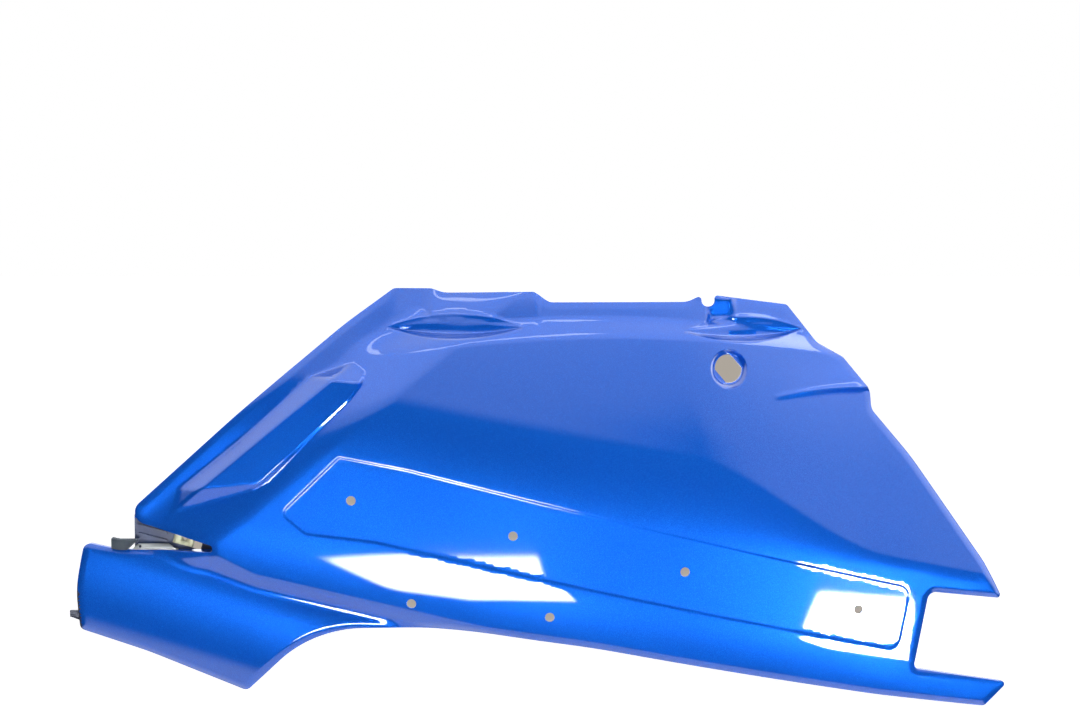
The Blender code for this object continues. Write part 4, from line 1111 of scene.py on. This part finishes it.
# %% Bare plastic
def bare_plastic():
    material, tree, shader, place = new_material("Bare moulded plastic")
    clouds, wipes = marked(tree, 14.0)
    colour = mixed(tree, clouds, (0.035, 0.04, 0.06), (0.03, 0.05, 0.13))
    tree.links.new(colour, shader.inputs["Base Color"])
    tree.links.new(ramp(tree, wipes, 0.0, 1.0, 0.48, 0.62), shader.inputs["Roughness"])
    bumped(tree, shader, noise(tree, place, 2200.0, 2.0), 0.12, 0.0003)
    return material


paint, bare = blue_paint(), bare_plastic()

# %% [markdown]
# ## Join the panel into one piece
#
# The Boolean's result has no smooth shading of its own, so the painted face's normals are set from
# the form's own slopes. Reflections then run as cleanly as on the real, polished tool. Faces on the
# inner side, inside the slot and on the front hook get the bare plastic.

# %% One moulded piece
NUT, NUT_LENGTH, NUT_WIDTH, NUT_SHEET = np.array((24.0, -3.0)), 20.0, 12.0, 1.0
NUT_BARREL_R, NUT_BARREL_LENGTH, NUT_HOLE_R, NUT_CLEARANCE = 4.6, 5.0, 2.6, 0.8
WINDOW_LENGTH, SEAT_GAP, CUT_PAST = 9.0, 0.3, 1.0
ON_FACE, SHARP_DEG, LEAST_AGREEMENT = 0.05, 35.0, 0.6
INNER_WALL_SHARE, EDGE_WALL_SHARE = 0.6, 0.5
SLOT_BARE_ENDS, SLOT_BARE_NEAR, SLOT_BARE_PAST, HOOK_PAINTED = 1.0, 0.5, 8.0, 3.0


def slot_frame():
    along = np.subtract(SLOT_TOP[1], SLOT_TOP[0])
    along /= np.hypot(*along)
    return along, np.array((-along[1], along[0]))


def plate_cuts():
    along, across = slot_frame()
    start = NUT_LENGTH / 2 - NUT_SHEET - SEAT_GAP
    half_width = NUT_WIDTH / 2 + NUT_CLEARANCE
    corners = ((start, -1), (start + WINDOW_LENGTH, -1), (start + WINDOW_LENGTH, 1), (start, 1))
    window = [NUT + along * s + across * way * half_width for s, way in corners]
    near, far = BRACKET_DEPTH - CUT_PAST, BRACKET_DEPTH + BRACKET_WALL + CUT_PAST
    hole = ring(NUT, NUT_BARREL_R + NUT_CLEARANCE, 48)
    return [prism("nut_window", window, near, far), prism("nut_hole", hole, near, far)]


def combined(mesh, additions, cuts):
    """The mesh with solids joined on and others cut away."""
    obj = bpy.data.objects.new(mesh.name, mesh)
    bpy.context.scene.collection.objects.link(obj)
    helpers = []
    for operation, others in (("UNION", additions), ("DIFFERENCE", cuts)):
        group = bpy.data.collections.new(operation.lower())
        bpy.context.scene.collection.children.link(group)
        for other in others:
            helpers.append(bpy.data.objects.new(other.name, other))
            group.objects.link(helpers[-1])
        modifier = obj.modifiers.new(operation.lower(), "BOOLEAN")
        modifier.operation = operation
        modifier.solver = "EXACT"
        modifier.operand_type = "COLLECTION"
        modifier.collection = group
    result = plain_mesh_of(obj)
    for helper in helpers:
        bpy.data.objects.remove(helper)
    for group in [c for c in bpy.data.collections if c.name.startswith(("union", "difference"))]:
        bpy.data.collections.remove(group)
    return result


def values_of(source, name, width, kind=float):
    values = np.zeros(len(source) * width, np.float32 if kind is float else np.int32)
    source.foreach_get(name, values)
    return values.reshape(-1, width) if width > 1 else values


def finish_panel(mesh):
    """Sets the painted face's normals from the form, and gives the inner side its own material."""
    mesh.materials.clear()
    mesh.materials.append(paint)
    mesh.materials.append(bare)
    mesh.shade_smooth()
    mesh.set_sharp_from_angle(angle=math.radians(SHARP_DEG))
    places = values_of(mesh.vertices, "co", 3) / MM + ORIGIN
    depth = outer_depth(places[:, 0], places[:, 2])
    on_face = np.abs(places[:, 1] - depth) < ON_FACE
    fx, fz = slopes(places[:, 0], places[:, 2])
    form_normals = np.stack([fx, -np.ones_like(fx), fz], 1)
    form_normals /= np.linalg.norm(form_normals, axis=1, keepdims=True)

    corner_vertex = values_of(mesh.loops, "vertex_index", 1, int)
    polygon_normals = values_of(mesh.polygons, "normal", 3)
    totals = values_of(mesh.polygons, "loop_total", 1, int)
    polygon_of_corner = np.repeat(np.arange(len(totals)), totals)
    normals = values_of(mesh.corner_normals, "vector", 3)
    agreement = (form_normals[corner_vertex] * polygon_normals[polygon_of_corner]).sum(1)
    from_form = on_face[corner_vertex] & (agreement > LEAST_AGREEMENT)
    normals[from_form] = form_normals[corner_vertex][from_form]
    mesh.normals_split_custom_set(normals.tolist())

    centres = values_of(mesh.polygons, "center", 3) / MM + ORIGIN
    behind = centres[:, 1] - outer_depth(centres[:, 0], centres[:, 2])
    within, _ = to_loop(centres[:, 0], centres[:, 2], edge)
    is_inner = (behind > INNER_WALL_SHARE * WALL) & (within > EDGE_WALL_SHARE * WALL)
    is_inner &= inside(centres[:, 0], centres[:, 2], edge)
    x, y, z = centres.T
    slot_top, slot_height = height_on(x, SLOT_TOP), np.abs(height_on(x, RIM) - height_on(x, SLOT_TOP))
    in_slot = (x > BRACKET_SPAN[0] - SLOT_BARE_ENDS) & (x < BRACKET_SPAN[1] + SLOT_BARE_ENDS)
    in_slot &= y > BRACKET_DEPTH - TRACK_HEIGHT - SLOT_BARE_NEAR
    in_slot &= np.abs(z - slot_top) < slot_height + SLOT_BARE_PAST
    is_bare = is_inner | in_slot | (x < HOOK_X - HOOK_PAINTED)
    mesh.polygons.foreach_set("material_index", is_bare.astype(np.int32))
    print("corners shaded from the form:", int(from_form.sum()), "of", len(normals))


def show(name, mesh, node_name):
    """Makes the mesh a piece of the panel in place of its CAD solid."""
    obj = bpy.data.objects.new(name, mesh)
    bpy.context.scene.collection.objects.link(obj)
    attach(obj, "root")
    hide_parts(node_name)
    print(name, "has", len(mesh.polygons), "faces")
    return obj


panel_mesh = combined(shell_mesh, [*back_solids(), peg_mesh(bare)], plate_cuts())
finish_panel(panel_mesh)
show("painted_panel", panel_mesh, "side_panel")

# %% [markdown]
# ## Clips in the slot
#
# A U of yellow-zinc steel slides over the edge of a window in the plate and holds a nut for the
# floor panel's screw. It is a bent strip, so its profile is an outline with a round bend, swept
# across its width. Beside it stand a pale spring clip and a block of rubber that stops rattles.

# %% Strips of sheet metal
def bent_strip(path, sheet, steps=6, bend_radius=1.4):
    """The outline of a strip of sheet that follows a path of corners, with rounded bends."""
    corners = [np.array(p, float) for p in path]
    line = [corners[0]]
    for before, here, after in zip(corners, corners[1:], corners[2:]):
        u, v = before - here, after - here
        u, v = u / np.hypot(*u), v / np.hypot(*v)
        half = math.acos(float(u @ v)) / 2
        reach = bend_radius / math.tan(half)
        middle = here + (u + v) / np.hypot(*(u + v)) * bend_radius / math.sin(half)
        a, b = here + u * reach - middle, here + v * reach - middle
        sweep = math.atan2(a[0] * b[1] - a[1] * b[0], a @ b)
        for k in range(steps + 1):
            c, s = math.cos(sweep * k / steps), math.sin(sweep * k / steps)
            line.append(middle + (a[0] * c - a[1] * s, a[0] * s + a[1] * c))
    line.append(corners[-1])
    line = np.array(line)
    ahead = np.gradient(line, axis=0)
    ahead /= np.hypot(*ahead.T)[:, None]
    side_way = np.stack([-ahead[:, 1], ahead[:, 0]], 1) * sheet / 2
    return np.concatenate([line + side_way, (line - side_way)[::-1]])


def soften(mesh, width, angle=40.0, segments=2):
    """A small bevel on every sharp edge, and smooth shading between them."""
    obj = bpy.data.objects.new(mesh.name, mesh)
    bpy.context.scene.collection.objects.link(obj)
    modifier = obj.modifiers.new("soften", "BEVEL")
    modifier.width = width * MM
    modifier.segments = segments
    modifier.limit_method = "ANGLE"
    modifier.angle_limit = math.radians(angle)
    modifier.use_clamp_overlap = True
    result = plain_mesh_of(obj)
    result.shade_smooth()
    result.set_sharp_from_angle(angle=math.radians(50))
    return result


# %% [markdown]
# The nut's thread repeats along a helix, so Geometry Nodes draw it: a spiral curve with a small
# triangle swept along it. It lies on the bore's wall, and only its crest stands out.

# %% Thread
THREAD_SIZES = {"Radius": NUT_HOLE_R, "Pitch": 1.0, "Length": NUT_BARREL_LENGTH, "Crest": 0.45}


def thread_tree(material):
    tree, given, out = tree_with("Thread on a helix", THREAD_SIZES, takes_geometry=False)
    node = tree.nodes.new
    spiral, profile = node("GeometryNodeCurveSpiral"), node("GeometryNodeCurvePrimitiveCircle")
    swept, real = node("GeometryNodeCurveToMesh"), node("GeometryNodeRealizeInstances")
    finish = node("GeometryNodeSetMaterial")
    spiral.inputs["Resolution"].default_value = 36
    profile.inputs["Resolution"].default_value = 3
    swept.inputs["Fill Caps"].default_value = True
    finish.inputs["Material"].default_value = material
    turns = reckoned(tree, "DIVIDE", given["Length"], given["Pitch"])
    link(tree, (turns, spiral.inputs["Rotations"]), (given["Length"], spiral.inputs["Height"]))
    for end in ("Start Radius", "End Radius"):
        link(tree, (given["Radius"], spiral.inputs[end]))
    link(tree, (given["Crest"], profile.inputs["Radius"]), (spiral.outputs[0], swept.inputs["Curve"]))
    link(tree, (profile.outputs[0], swept.inputs["Profile Curve"]), (swept.outputs[0], real.inputs[0]))
    link(tree, (real.outputs[0], finish.inputs["Geometry"]), (finish.outputs[0], out.inputs[0]))
    return tree


# %% [markdown]
# Zinc plating is thin and slightly mottled. Yellow zinc shifts between straw and green-grey, pale
# zinc only in brightness. Old plating is dull, with a skin of oxide over the metal, so the shader's
# Metallic is well under 1, and the mottling goes into the colour and the roughness.

# %% Plating and rubber
def plated(name, low, high, roughness):
    material, tree, shader, place = new_material(name)
    clouds, wipes = marked(tree, 60.0)
    tree.links.new(mixed(tree, clouds, low, high), shader.inputs["Base Color"])
    tree.links.new(ramp(tree, wipes, 0.0, 1.0, roughness, roughness + 0.15), shader.inputs["Roughness"])
    shader.inputs["Metallic"].default_value = 0.3
    bumped(tree, shader, noise(tree, place, 900.0, 2.0), 0.08, 0.0003)
    return material


def dark_rubber():
    material, tree, shader, place = new_material("Dark grey rubber")
    clouds, _ = marked(tree, 40.0)
    colour = mixed(tree, clouds, (0.045, 0.06, 0.075), (0.09, 0.11, 0.13))
    tree.links.new(colour, shader.inputs["Base Color"])
    shader.inputs["Roughness"].default_value = 0.75
    bumped(tree, shader, noise(tree, place, 1500.0, 3.0), 0.3, 0.0004)
    return material


yellow_zinc = plated("Yellow zinc plating", (0.40, 0.41, 0.27), (0.50, 0.48, 0.30), 0.45)
pale_zinc = plated("Pale zinc plating", (0.50, 0.53, 0.52), (0.62, 0.62, 0.56), 0.42)
rubber = dark_rubber()


# %% Spring nut
def spring_nut():
    along, across = slot_frame()
    half = NUT_LENGTH / 2
    front = BRACKET_DEPTH - SEAT_GAP - NUT_SHEET / 2
    back = BRACKET_DEPTH + BRACKET_WALL + SEAT_GAP + NUT_SHEET / 2
    path = ((-half, front), (half - NUT_SHEET / 2, front), (half - NUT_SHEET / 2, back), (-half, back))
    profile = bent_strip(path, NUT_SHEET)
    rings = []
    for offset in (-NUT_WIDTH / 2, NUT_WIDTH / 2):
        places = [NUT + along * s + across * offset for s, _ in profile]
        rings.append(at_depth(places, profile[:, 1]))
    end = back + NUT_SHEET / 2 + NUT_BARREL_LENGTH
    barrel = prism("nut_barrel", ring(NUT, NUT_BARREL_R, 48), back, end)
    bore = prism("nut_bore", ring(NUT, NUT_HOLE_R, 48), front - CUT_PAST, end + CUT_PAST)
    body_mesh = soften(combined(lofted("spring_nut", rings), [barrel], [bore]), 0.15)
    thread = run_tree("thread", bpy.data.meshes.new("empty"), thread_tree(yellow_zinc), THREAD_SIZES)
    thread.materials.clear()
    bm = bmesh.new()
    bm.from_mesh(thread)
    place = Vector(scene_point(NUT[0], back + NUT_SHEET / 2, NUT[1]))
    for v in bm.verts:
        v.co = place + Vector((v.co.x, v.co.z, v.co.y))
    bmesh.ops.recalc_face_normals(bm, faces=bm.faces)
    bm.from_mesh(body_mesh)
    bm.to_mesh(body_mesh)
    bm.free()
    body_mesh.materials.clear()
    body_mesh.materials.append(yellow_zinc)
    return body_mesh


show("spring_nut", spring_nut(), "clip_nut")

# %% [markdown]
# The spring clip and the rubber block stand on the rim of the ear. Both are profiles in depth and
# height, carried along the rim, with ends that slant as they do in the photograph.

# %% Spring clip and rubber block
SPRING_FOOT, SPRING_NARROWING = (-25.5, 19.0), (1.2, 1.6)
SPRING_NEAR, SPRING_SHEET, SPRING_FOOT_DEPTH = 10.0, 0.9, 9.0
SPRING_LEAF, SPRING_LEAN_DEG = 8.0, 45.0
SPRING_HOLE_R, SPRING_HOLE_X, SPRING_HOLE_UP = 1.3, -17.0, 3.4
BUFFER_FOOT, BUFFER_OVERHANG, BUFFER_HEIGHT = (-44.0, -29.0), 10.0, 10.0
BUFFER_DEPTHS, BUFFER_CHAMFER = (10.0, 20.0), 1.2


def along_rim(x, profile, narrowing):
    foot = height_on(x, RIM) + SEAT_GAP
    return [(x + narrowing * up, y, foot + up) for y, up in profile]


def spring_clip():
    lean = math.radians(SPRING_LEAN_DEG)
    sheet = SPRING_SHEET / 2
    heel = (SPRING_NEAR + SPRING_SHEET, sheet)
    tip = (heel[0] + (SPRING_LEAF - sheet) * math.sin(lean), (SPRING_LEAF - sheet) * math.cos(lean))
    path = (tip, heel, (SPRING_NEAR + SPRING_FOOT_DEPTH, sheet))
    profile = bent_strip(path, SPRING_SHEET, bend_radius=0.8)
    front, rear = SPRING_FOOT
    rings = [along_rim(front, profile, SPRING_NARROWING[0]), along_rim(rear, profile, -SPRING_NARROWING[1])]
    hole = ring((SPRING_HOLE_X, height_on(SPRING_HOLE_X, RIM) + SPRING_HOLE_UP), SPRING_HOLE_R, 32)
    far = SPRING_NEAR + SPRING_FOOT_DEPTH + CUT_PAST
    bore = prism("spring_hole", hole, SPRING_NEAR - CUT_PAST, far)
    mesh = soften(combined(lofted("spring_clip_strip", rings), [], [bore]), 0.12)
    mesh.materials.clear()
    mesh.materials.append(pale_zinc)
    return mesh


def rubber_block():
    near, far = BUFFER_DEPTHS
    low, high = BUFFER_HEIGHT - BUFFER_CHAMFER, BUFFER_HEIGHT
    profile = ((near, 0), (far, 0), (far, low), (far - BUFFER_CHAMFER, high))
    profile += ((near + BUFFER_CHAMFER, high), (near, low))
    front, rear = BUFFER_FOOT
    rings = [along_rim(x, profile, 0) for x in (front, RIM[1][0])]
    rings.append(along_rim(rear, profile, BUFFER_OVERHANG / BUFFER_HEIGHT))
    mesh = soften(lofted("rubber_block", rings), 0.5, angle=30, segments=3)
    mesh.materials.clear()
    mesh.materials.append(rubber)
    return mesh


show("spring_strip", spring_clip(), "spring_clip")
show("rubber_block", rubber_block(), "buffer_block")

# %% [markdown]
# ## Floor, world and light
#
# The photograph was taken on white, with a dim room and two bright windows behind the camera. What
# a glossy panel shows is that room, so the room is drawn in the world's shader for glossy rays
# only: a white table below, a dark middle, a pale upper part, two windows, and two strips of
# skylight that draw the light lines on the crests. The camera sees plain white instead, and other
# rays see soft pale light.

# %% Floor
floor_mesh = bpy.data.meshes.new("floor")
FLOOR_REACH, FLOOR_GLOW = 30.0, 0.84
level = cad_low.z
corners = [(sx * FLOOR_REACH, sy * FLOOR_REACH, level) for sx, sy in ((-1, -1), (1, -1), (1, 1), (-1, 1))]
floor_mesh.from_pydata(corners, [], [(0, 1, 2, 3)])
floor = bpy.data.objects.new("floor", floor_mesh)
bpy.context.scene.collection.objects.link(floor)
floor.visible_glossy = False


def floor_material():
    material = bpy.data.materials.new("White table")
    material.use_nodes = True
    tree = material.node_tree
    tree.nodes.clear()
    node = tree.nodes.new
    matte, glow = node("ShaderNodeBsdfDiffuse"), node("ShaderNodeEmission")
    total, out = node("ShaderNodeAddShader"), node("ShaderNodeOutputMaterial")
    matte.inputs["Color"].default_value = (0.8, 0.8, 0.8, 1)
    seen = reckoned(tree, "MULTIPLY", node("ShaderNodeLightPath").outputs["Is Camera Ray"], FLOOR_GLOW)
    link(tree, (seen, glow.inputs["Strength"]), (matte.outputs[0], total.inputs[0]))
    link(tree, (glow.outputs[0], total.inputs[1]), (total.outputs[0], out.inputs["Surface"]))
    return material


floor_mesh.materials.append(floor_material())

# %% [markdown]
# Through its holes the photograph shows the table in the panel's own shade, a warm grey. Small cards
# of that grey stand behind the holes and the slot, each on the line from the camera through its
# hole. Only the camera sees them, and only from the front.

# %% Shade cards
CAMERA_X, CAMERA_Z, CAMERA_AWAY = 364.8, 273.3, 1700.0
SHADE, SHADE_GAP, SHADE_SIDES = (0.42, 0.38, 0.33), 22.0, 24
TRIM_SHADE_MORE, LOCK_SHADE_MORE = 2.0, 1.5
SLOT_SHADE, SLOT_SHADE_R = (34.0, -9.0), 17.0


def shade_material():
    material = bpy.data.materials.new("Shaded table")
    material.use_nodes = True
    tree = material.node_tree
    tree.nodes.clear()
    node = tree.nodes.new
    glow, clear = node("ShaderNodeEmission"), node("ShaderNodeBsdfTransparent")
    shown, out = node("ShaderNodeMixShader"), node("ShaderNodeOutputMaterial")
    glow.inputs["Color"].default_value = (*SHADE, 1)
    link(tree, (node("ShaderNodeNewGeometry").outputs["Backfacing"], shown.inputs[0]))
    link(tree, (glow.outputs[0], shown.inputs[1]), (clear.outputs[0], shown.inputs[2]))
    link(tree, (shown.outputs[0], out.inputs["Surface"]))
    return material


card_points, card_faces = [], []
shaded = [(place, TRIM_HOLE_D / 2 + TRIM_SHADE_MORE) for place in TRIM_HOLES]
shaded += [(LOCK, LOCK_HOLE_R + LOCK_SHADE_MORE), (SLOT_SHADE, SLOT_SHADE_R)]
for (x, z), radius in shaded:
    depth = float(wall_depth(np.array([x]), np.array([z]))[0])
    onward = (SHADE_GAP + WALL) / CAMERA_AWAY
    centre = (x + (x - CAMERA_X) * onward, z + (z - CAMERA_Z) * onward)
    card_faces.append(tuple(range(len(card_points), len(card_points) + SHADE_SIDES)))
    card_points += at_depth(ring(centre, radius, SHADE_SIDES), depth + SHADE_GAP)
card_mesh = bpy.data.meshes.new("shade_cards")
card_mesh.from_pydata(scene_points(card_points).tolist(), [], card_faces)
card_mesh.materials.append(shade_material())
cards = bpy.data.objects.new("shade_cards", card_mesh)
bpy.context.scene.collection.objects.link(cards)
cards.visible_diffuse = cards.visible_glossy = cards.visible_shadow = False
print("shade cards:", len(card_faces))

# %% [markdown]
# The world's shader turns the ray's direction into two angles: how far it is above the horizon, and
# how far it is to the right of the camera's side. A window or a strip has a strength and a convex
# shape of clockwise corners: its two angles, and how soft the side is that starts there.

# %% World
LEFT_WINDOW = (
    (-2.9, -4.2, 0.3),
    (6.1, -4.2, 0.5),
    (8.6, -6.8, 0.8),
    (8.6, -12.3, 2.5),
    (-10.0, -29.7, 1.2),
    (-9.2, -19.0, 1.2),
)
RIGHT_WINDOW = (
    (35.7, -5.8, 0.2),
    (45.2, -6.25, 0.8),
    (45.2, -12.4, 1.5),
    (35.5, -13.2, 1.0),
    (33.2, -10.7, 1.0),
    (33.6, -7.2, 0.8),
)
HIGH_STRIP = ((-75.0, 78.0, 2.0), (75.0, 78.0, 2.0), (75.0, 74.0, 2.0), (-75.0, 74.0, 2.0))
SIDE_STRIP = ((72.0, 59.0, 2.0), (125.0, 59.0, 2.0), (125.0, 52.0, 2.0), (72.0, 52.0, 2.0))
WINDOWS = ((45.0, LEFT_WINDOW), (180.0, RIGHT_WINDOW), (8.0, HIGH_STRIP), (8.0, SIDE_STRIP))
ROOM_COLOUR, SOFT_COLOUR = (0.93, 0.95, 1.0, 1), (0.95, 0.97, 1.0, 1)
TABLE_TOP, TABLE_EDGE, TABLE_LIGHT = -50.0, -43.0, 1.9
HAZE_EDGE, HAZE_TOP = (38.0, 45.0, 1.3), (44.0, 60.0, 1.2)
HAZE_DIP, HAZE_DIP_START = 0.7, 40.0
SOFT_LIGHT = 0.3


def pane(tree, right, up, corners):
    """1 inside the window or strip and 0 outside it."""
    seen = 1.0
    for (x0, y0, softness), (x1, y1, _) in zip(corners, corners[1:] + corners[:1]):
        length = math.hypot(x1 - x0, y1 - y0)
        a, b = (y0 - y1) / length, (x1 - x0) / length
        outside = reckoned(tree, "MULTIPLY_ADD", right, a, reckoned(tree, "MULTIPLY", up, b))
        edge_at = a * x0 + b * y0
        within = ramp(tree, outside, edge_at + softness / 2, edge_at - softness / 2)
        seen = reckoned(tree, "MULTIPLY", seen, within)
    return seen


def build_world():
    world = bpy.data.worlds.new("studio")
    world.use_nodes = True
    tree = world.node_tree
    tree.nodes.clear()
    node = tree.nodes.new
    split = node("ShaderNodeSeparateXYZ")
    tree.links.new(node("ShaderNodeTexCoord").outputs["Generated"], split.inputs[0])
    x, y, z = split.outputs
    towards = reckoned(tree, "MULTIPLY", y, -1.0)
    up = reckoned(tree, "DEGREES", reckoned(tree, "ARCSINE", z))
    right = reckoned(tree, "DEGREES", reckoned(tree, "ARCTAN2", x, towards))

    table = ramp(tree, up, TABLE_EDGE, TABLE_TOP, 0.0, TABLE_LIGHT)
    past = reckoned(tree, "SUBTRACT", reckoned(tree, "ABSOLUTE", right), HAZE_DIP_START)
    raised = reckoned(tree, "MULTIPLY_ADD", reckoned(tree, "MAXIMUM", past, 0.0), HAZE_DIP, up)
    hazes = [ramp(tree, raised, start, end, 0.0, high) for start, end, high in (HAZE_EDGE, HAZE_TOP)]
    light = reckoned(tree, "MAXIMUM", table, reckoned(tree, "ADD", *hazes))
    for strength, corners in WINDOWS:
        window = reckoned(tree, "MULTIPLY", pane(tree, right, up, corners), strength)
        light = reckoned(tree, "MAXIMUM", light, window)

    room, soft, white = (node("ShaderNodeBackground") for _ in range(3))
    room.inputs["Color"].default_value = ROOM_COLOUR
    soft.inputs["Color"].default_value = SOFT_COLOUR
    soft.inputs["Strength"].default_value = SOFT_LIGHT
    white.inputs["Color"].default_value = (1, 1, 1, 1)
    for_glossy, for_camera = (node("ShaderNodeMixShader") for _ in range(2))
    path, out = node("ShaderNodeLightPath"), node("ShaderNodeOutputWorld")
    link(tree, (light, room.inputs["Strength"]), (path.outputs["Is Glossy Ray"], for_glossy.inputs[0]))
    link(tree, (soft.outputs[0], for_glossy.inputs[1]), (room.outputs[0], for_glossy.inputs[2]))
    link(tree, (path.outputs["Is Camera Ray"], for_camera.inputs[0]))
    link(tree, (for_glossy.outputs[0], for_camera.inputs[1]), (white.outputs[0], for_camera.inputs[2]))
    link(tree, (for_camera.outputs[0], out.inputs["Surface"]))
    bpy.context.scene.world = world
    world.cycles.sampling_method = "NONE"


build_world()
print("windows and strips in the room:", len(WINDOWS))

# %% [markdown]
# Two large area lights stand to the left and the right of the camera. They give the matte surfaces
# their shading, and they are hidden from glossy rays, which see the world's own windows.

# %% Lights and view
def area_light(name, place, target, size, power):
    data = bpy.data.lights.new(name, "AREA")
    data.shape = "RECTANGLE"
    data.size, data.size_y = size
    data.energy = power
    obj = bpy.data.objects.new(name, data)
    obj.location = place
    obj.rotation_euler = (Vector(target) - Vector(place)).to_track_quat("-Z", "Y").to_euler()
    obj.visible_glossy = False
    bpy.context.scene.collection.objects.link(obj)


area_light("left_light", (-1.6, -2.2, 0.5), (-0.1, 0, -0.2), (1.6, 1.2), 13.0)
area_light("right_light", (1.7, -2.0, 0.4), (-0.1, 0, -0.2), (1.4, 1.2), 36.0)
bpy.context.scene.view_settings.view_transform = "Standard"
print("lights:", [light.name for light in bpy.data.lights])

# %% [markdown]
# ## Camera
#
# The camera stands about 1.7 m away and a little above the panel. Its lens is chosen so that the
# panel fills the frame as it does in the photograph, which is 1080 pixels wide.

# %% Camera
CAMERA_PLACE, CAMERA_TURNS_DEG = (-0.18623, -1.79329, 0.05726), (86.6245, 0.0, -0.065)
LENS, SENSOR, FARTHEST = 58.72, 36.0, 200.0
camera_data = bpy.data.cameras.new("camera")
camera_data.lens = LENS
camera_data.sensor_width = SENSOR
camera_data.clip_end = FARTHEST
camera = bpy.data.objects.new("camera", camera_data)
camera.location = CAMERA_PLACE
camera.rotation_euler = [math.radians(turn) for turn in CAMERA_TURNS_DEG]
bpy.context.scene.collection.objects.link(camera)
bpy.context.scene.camera = camera
print("camera's view across:", round(math.degrees(camera_data.angle), 1), "degrees")
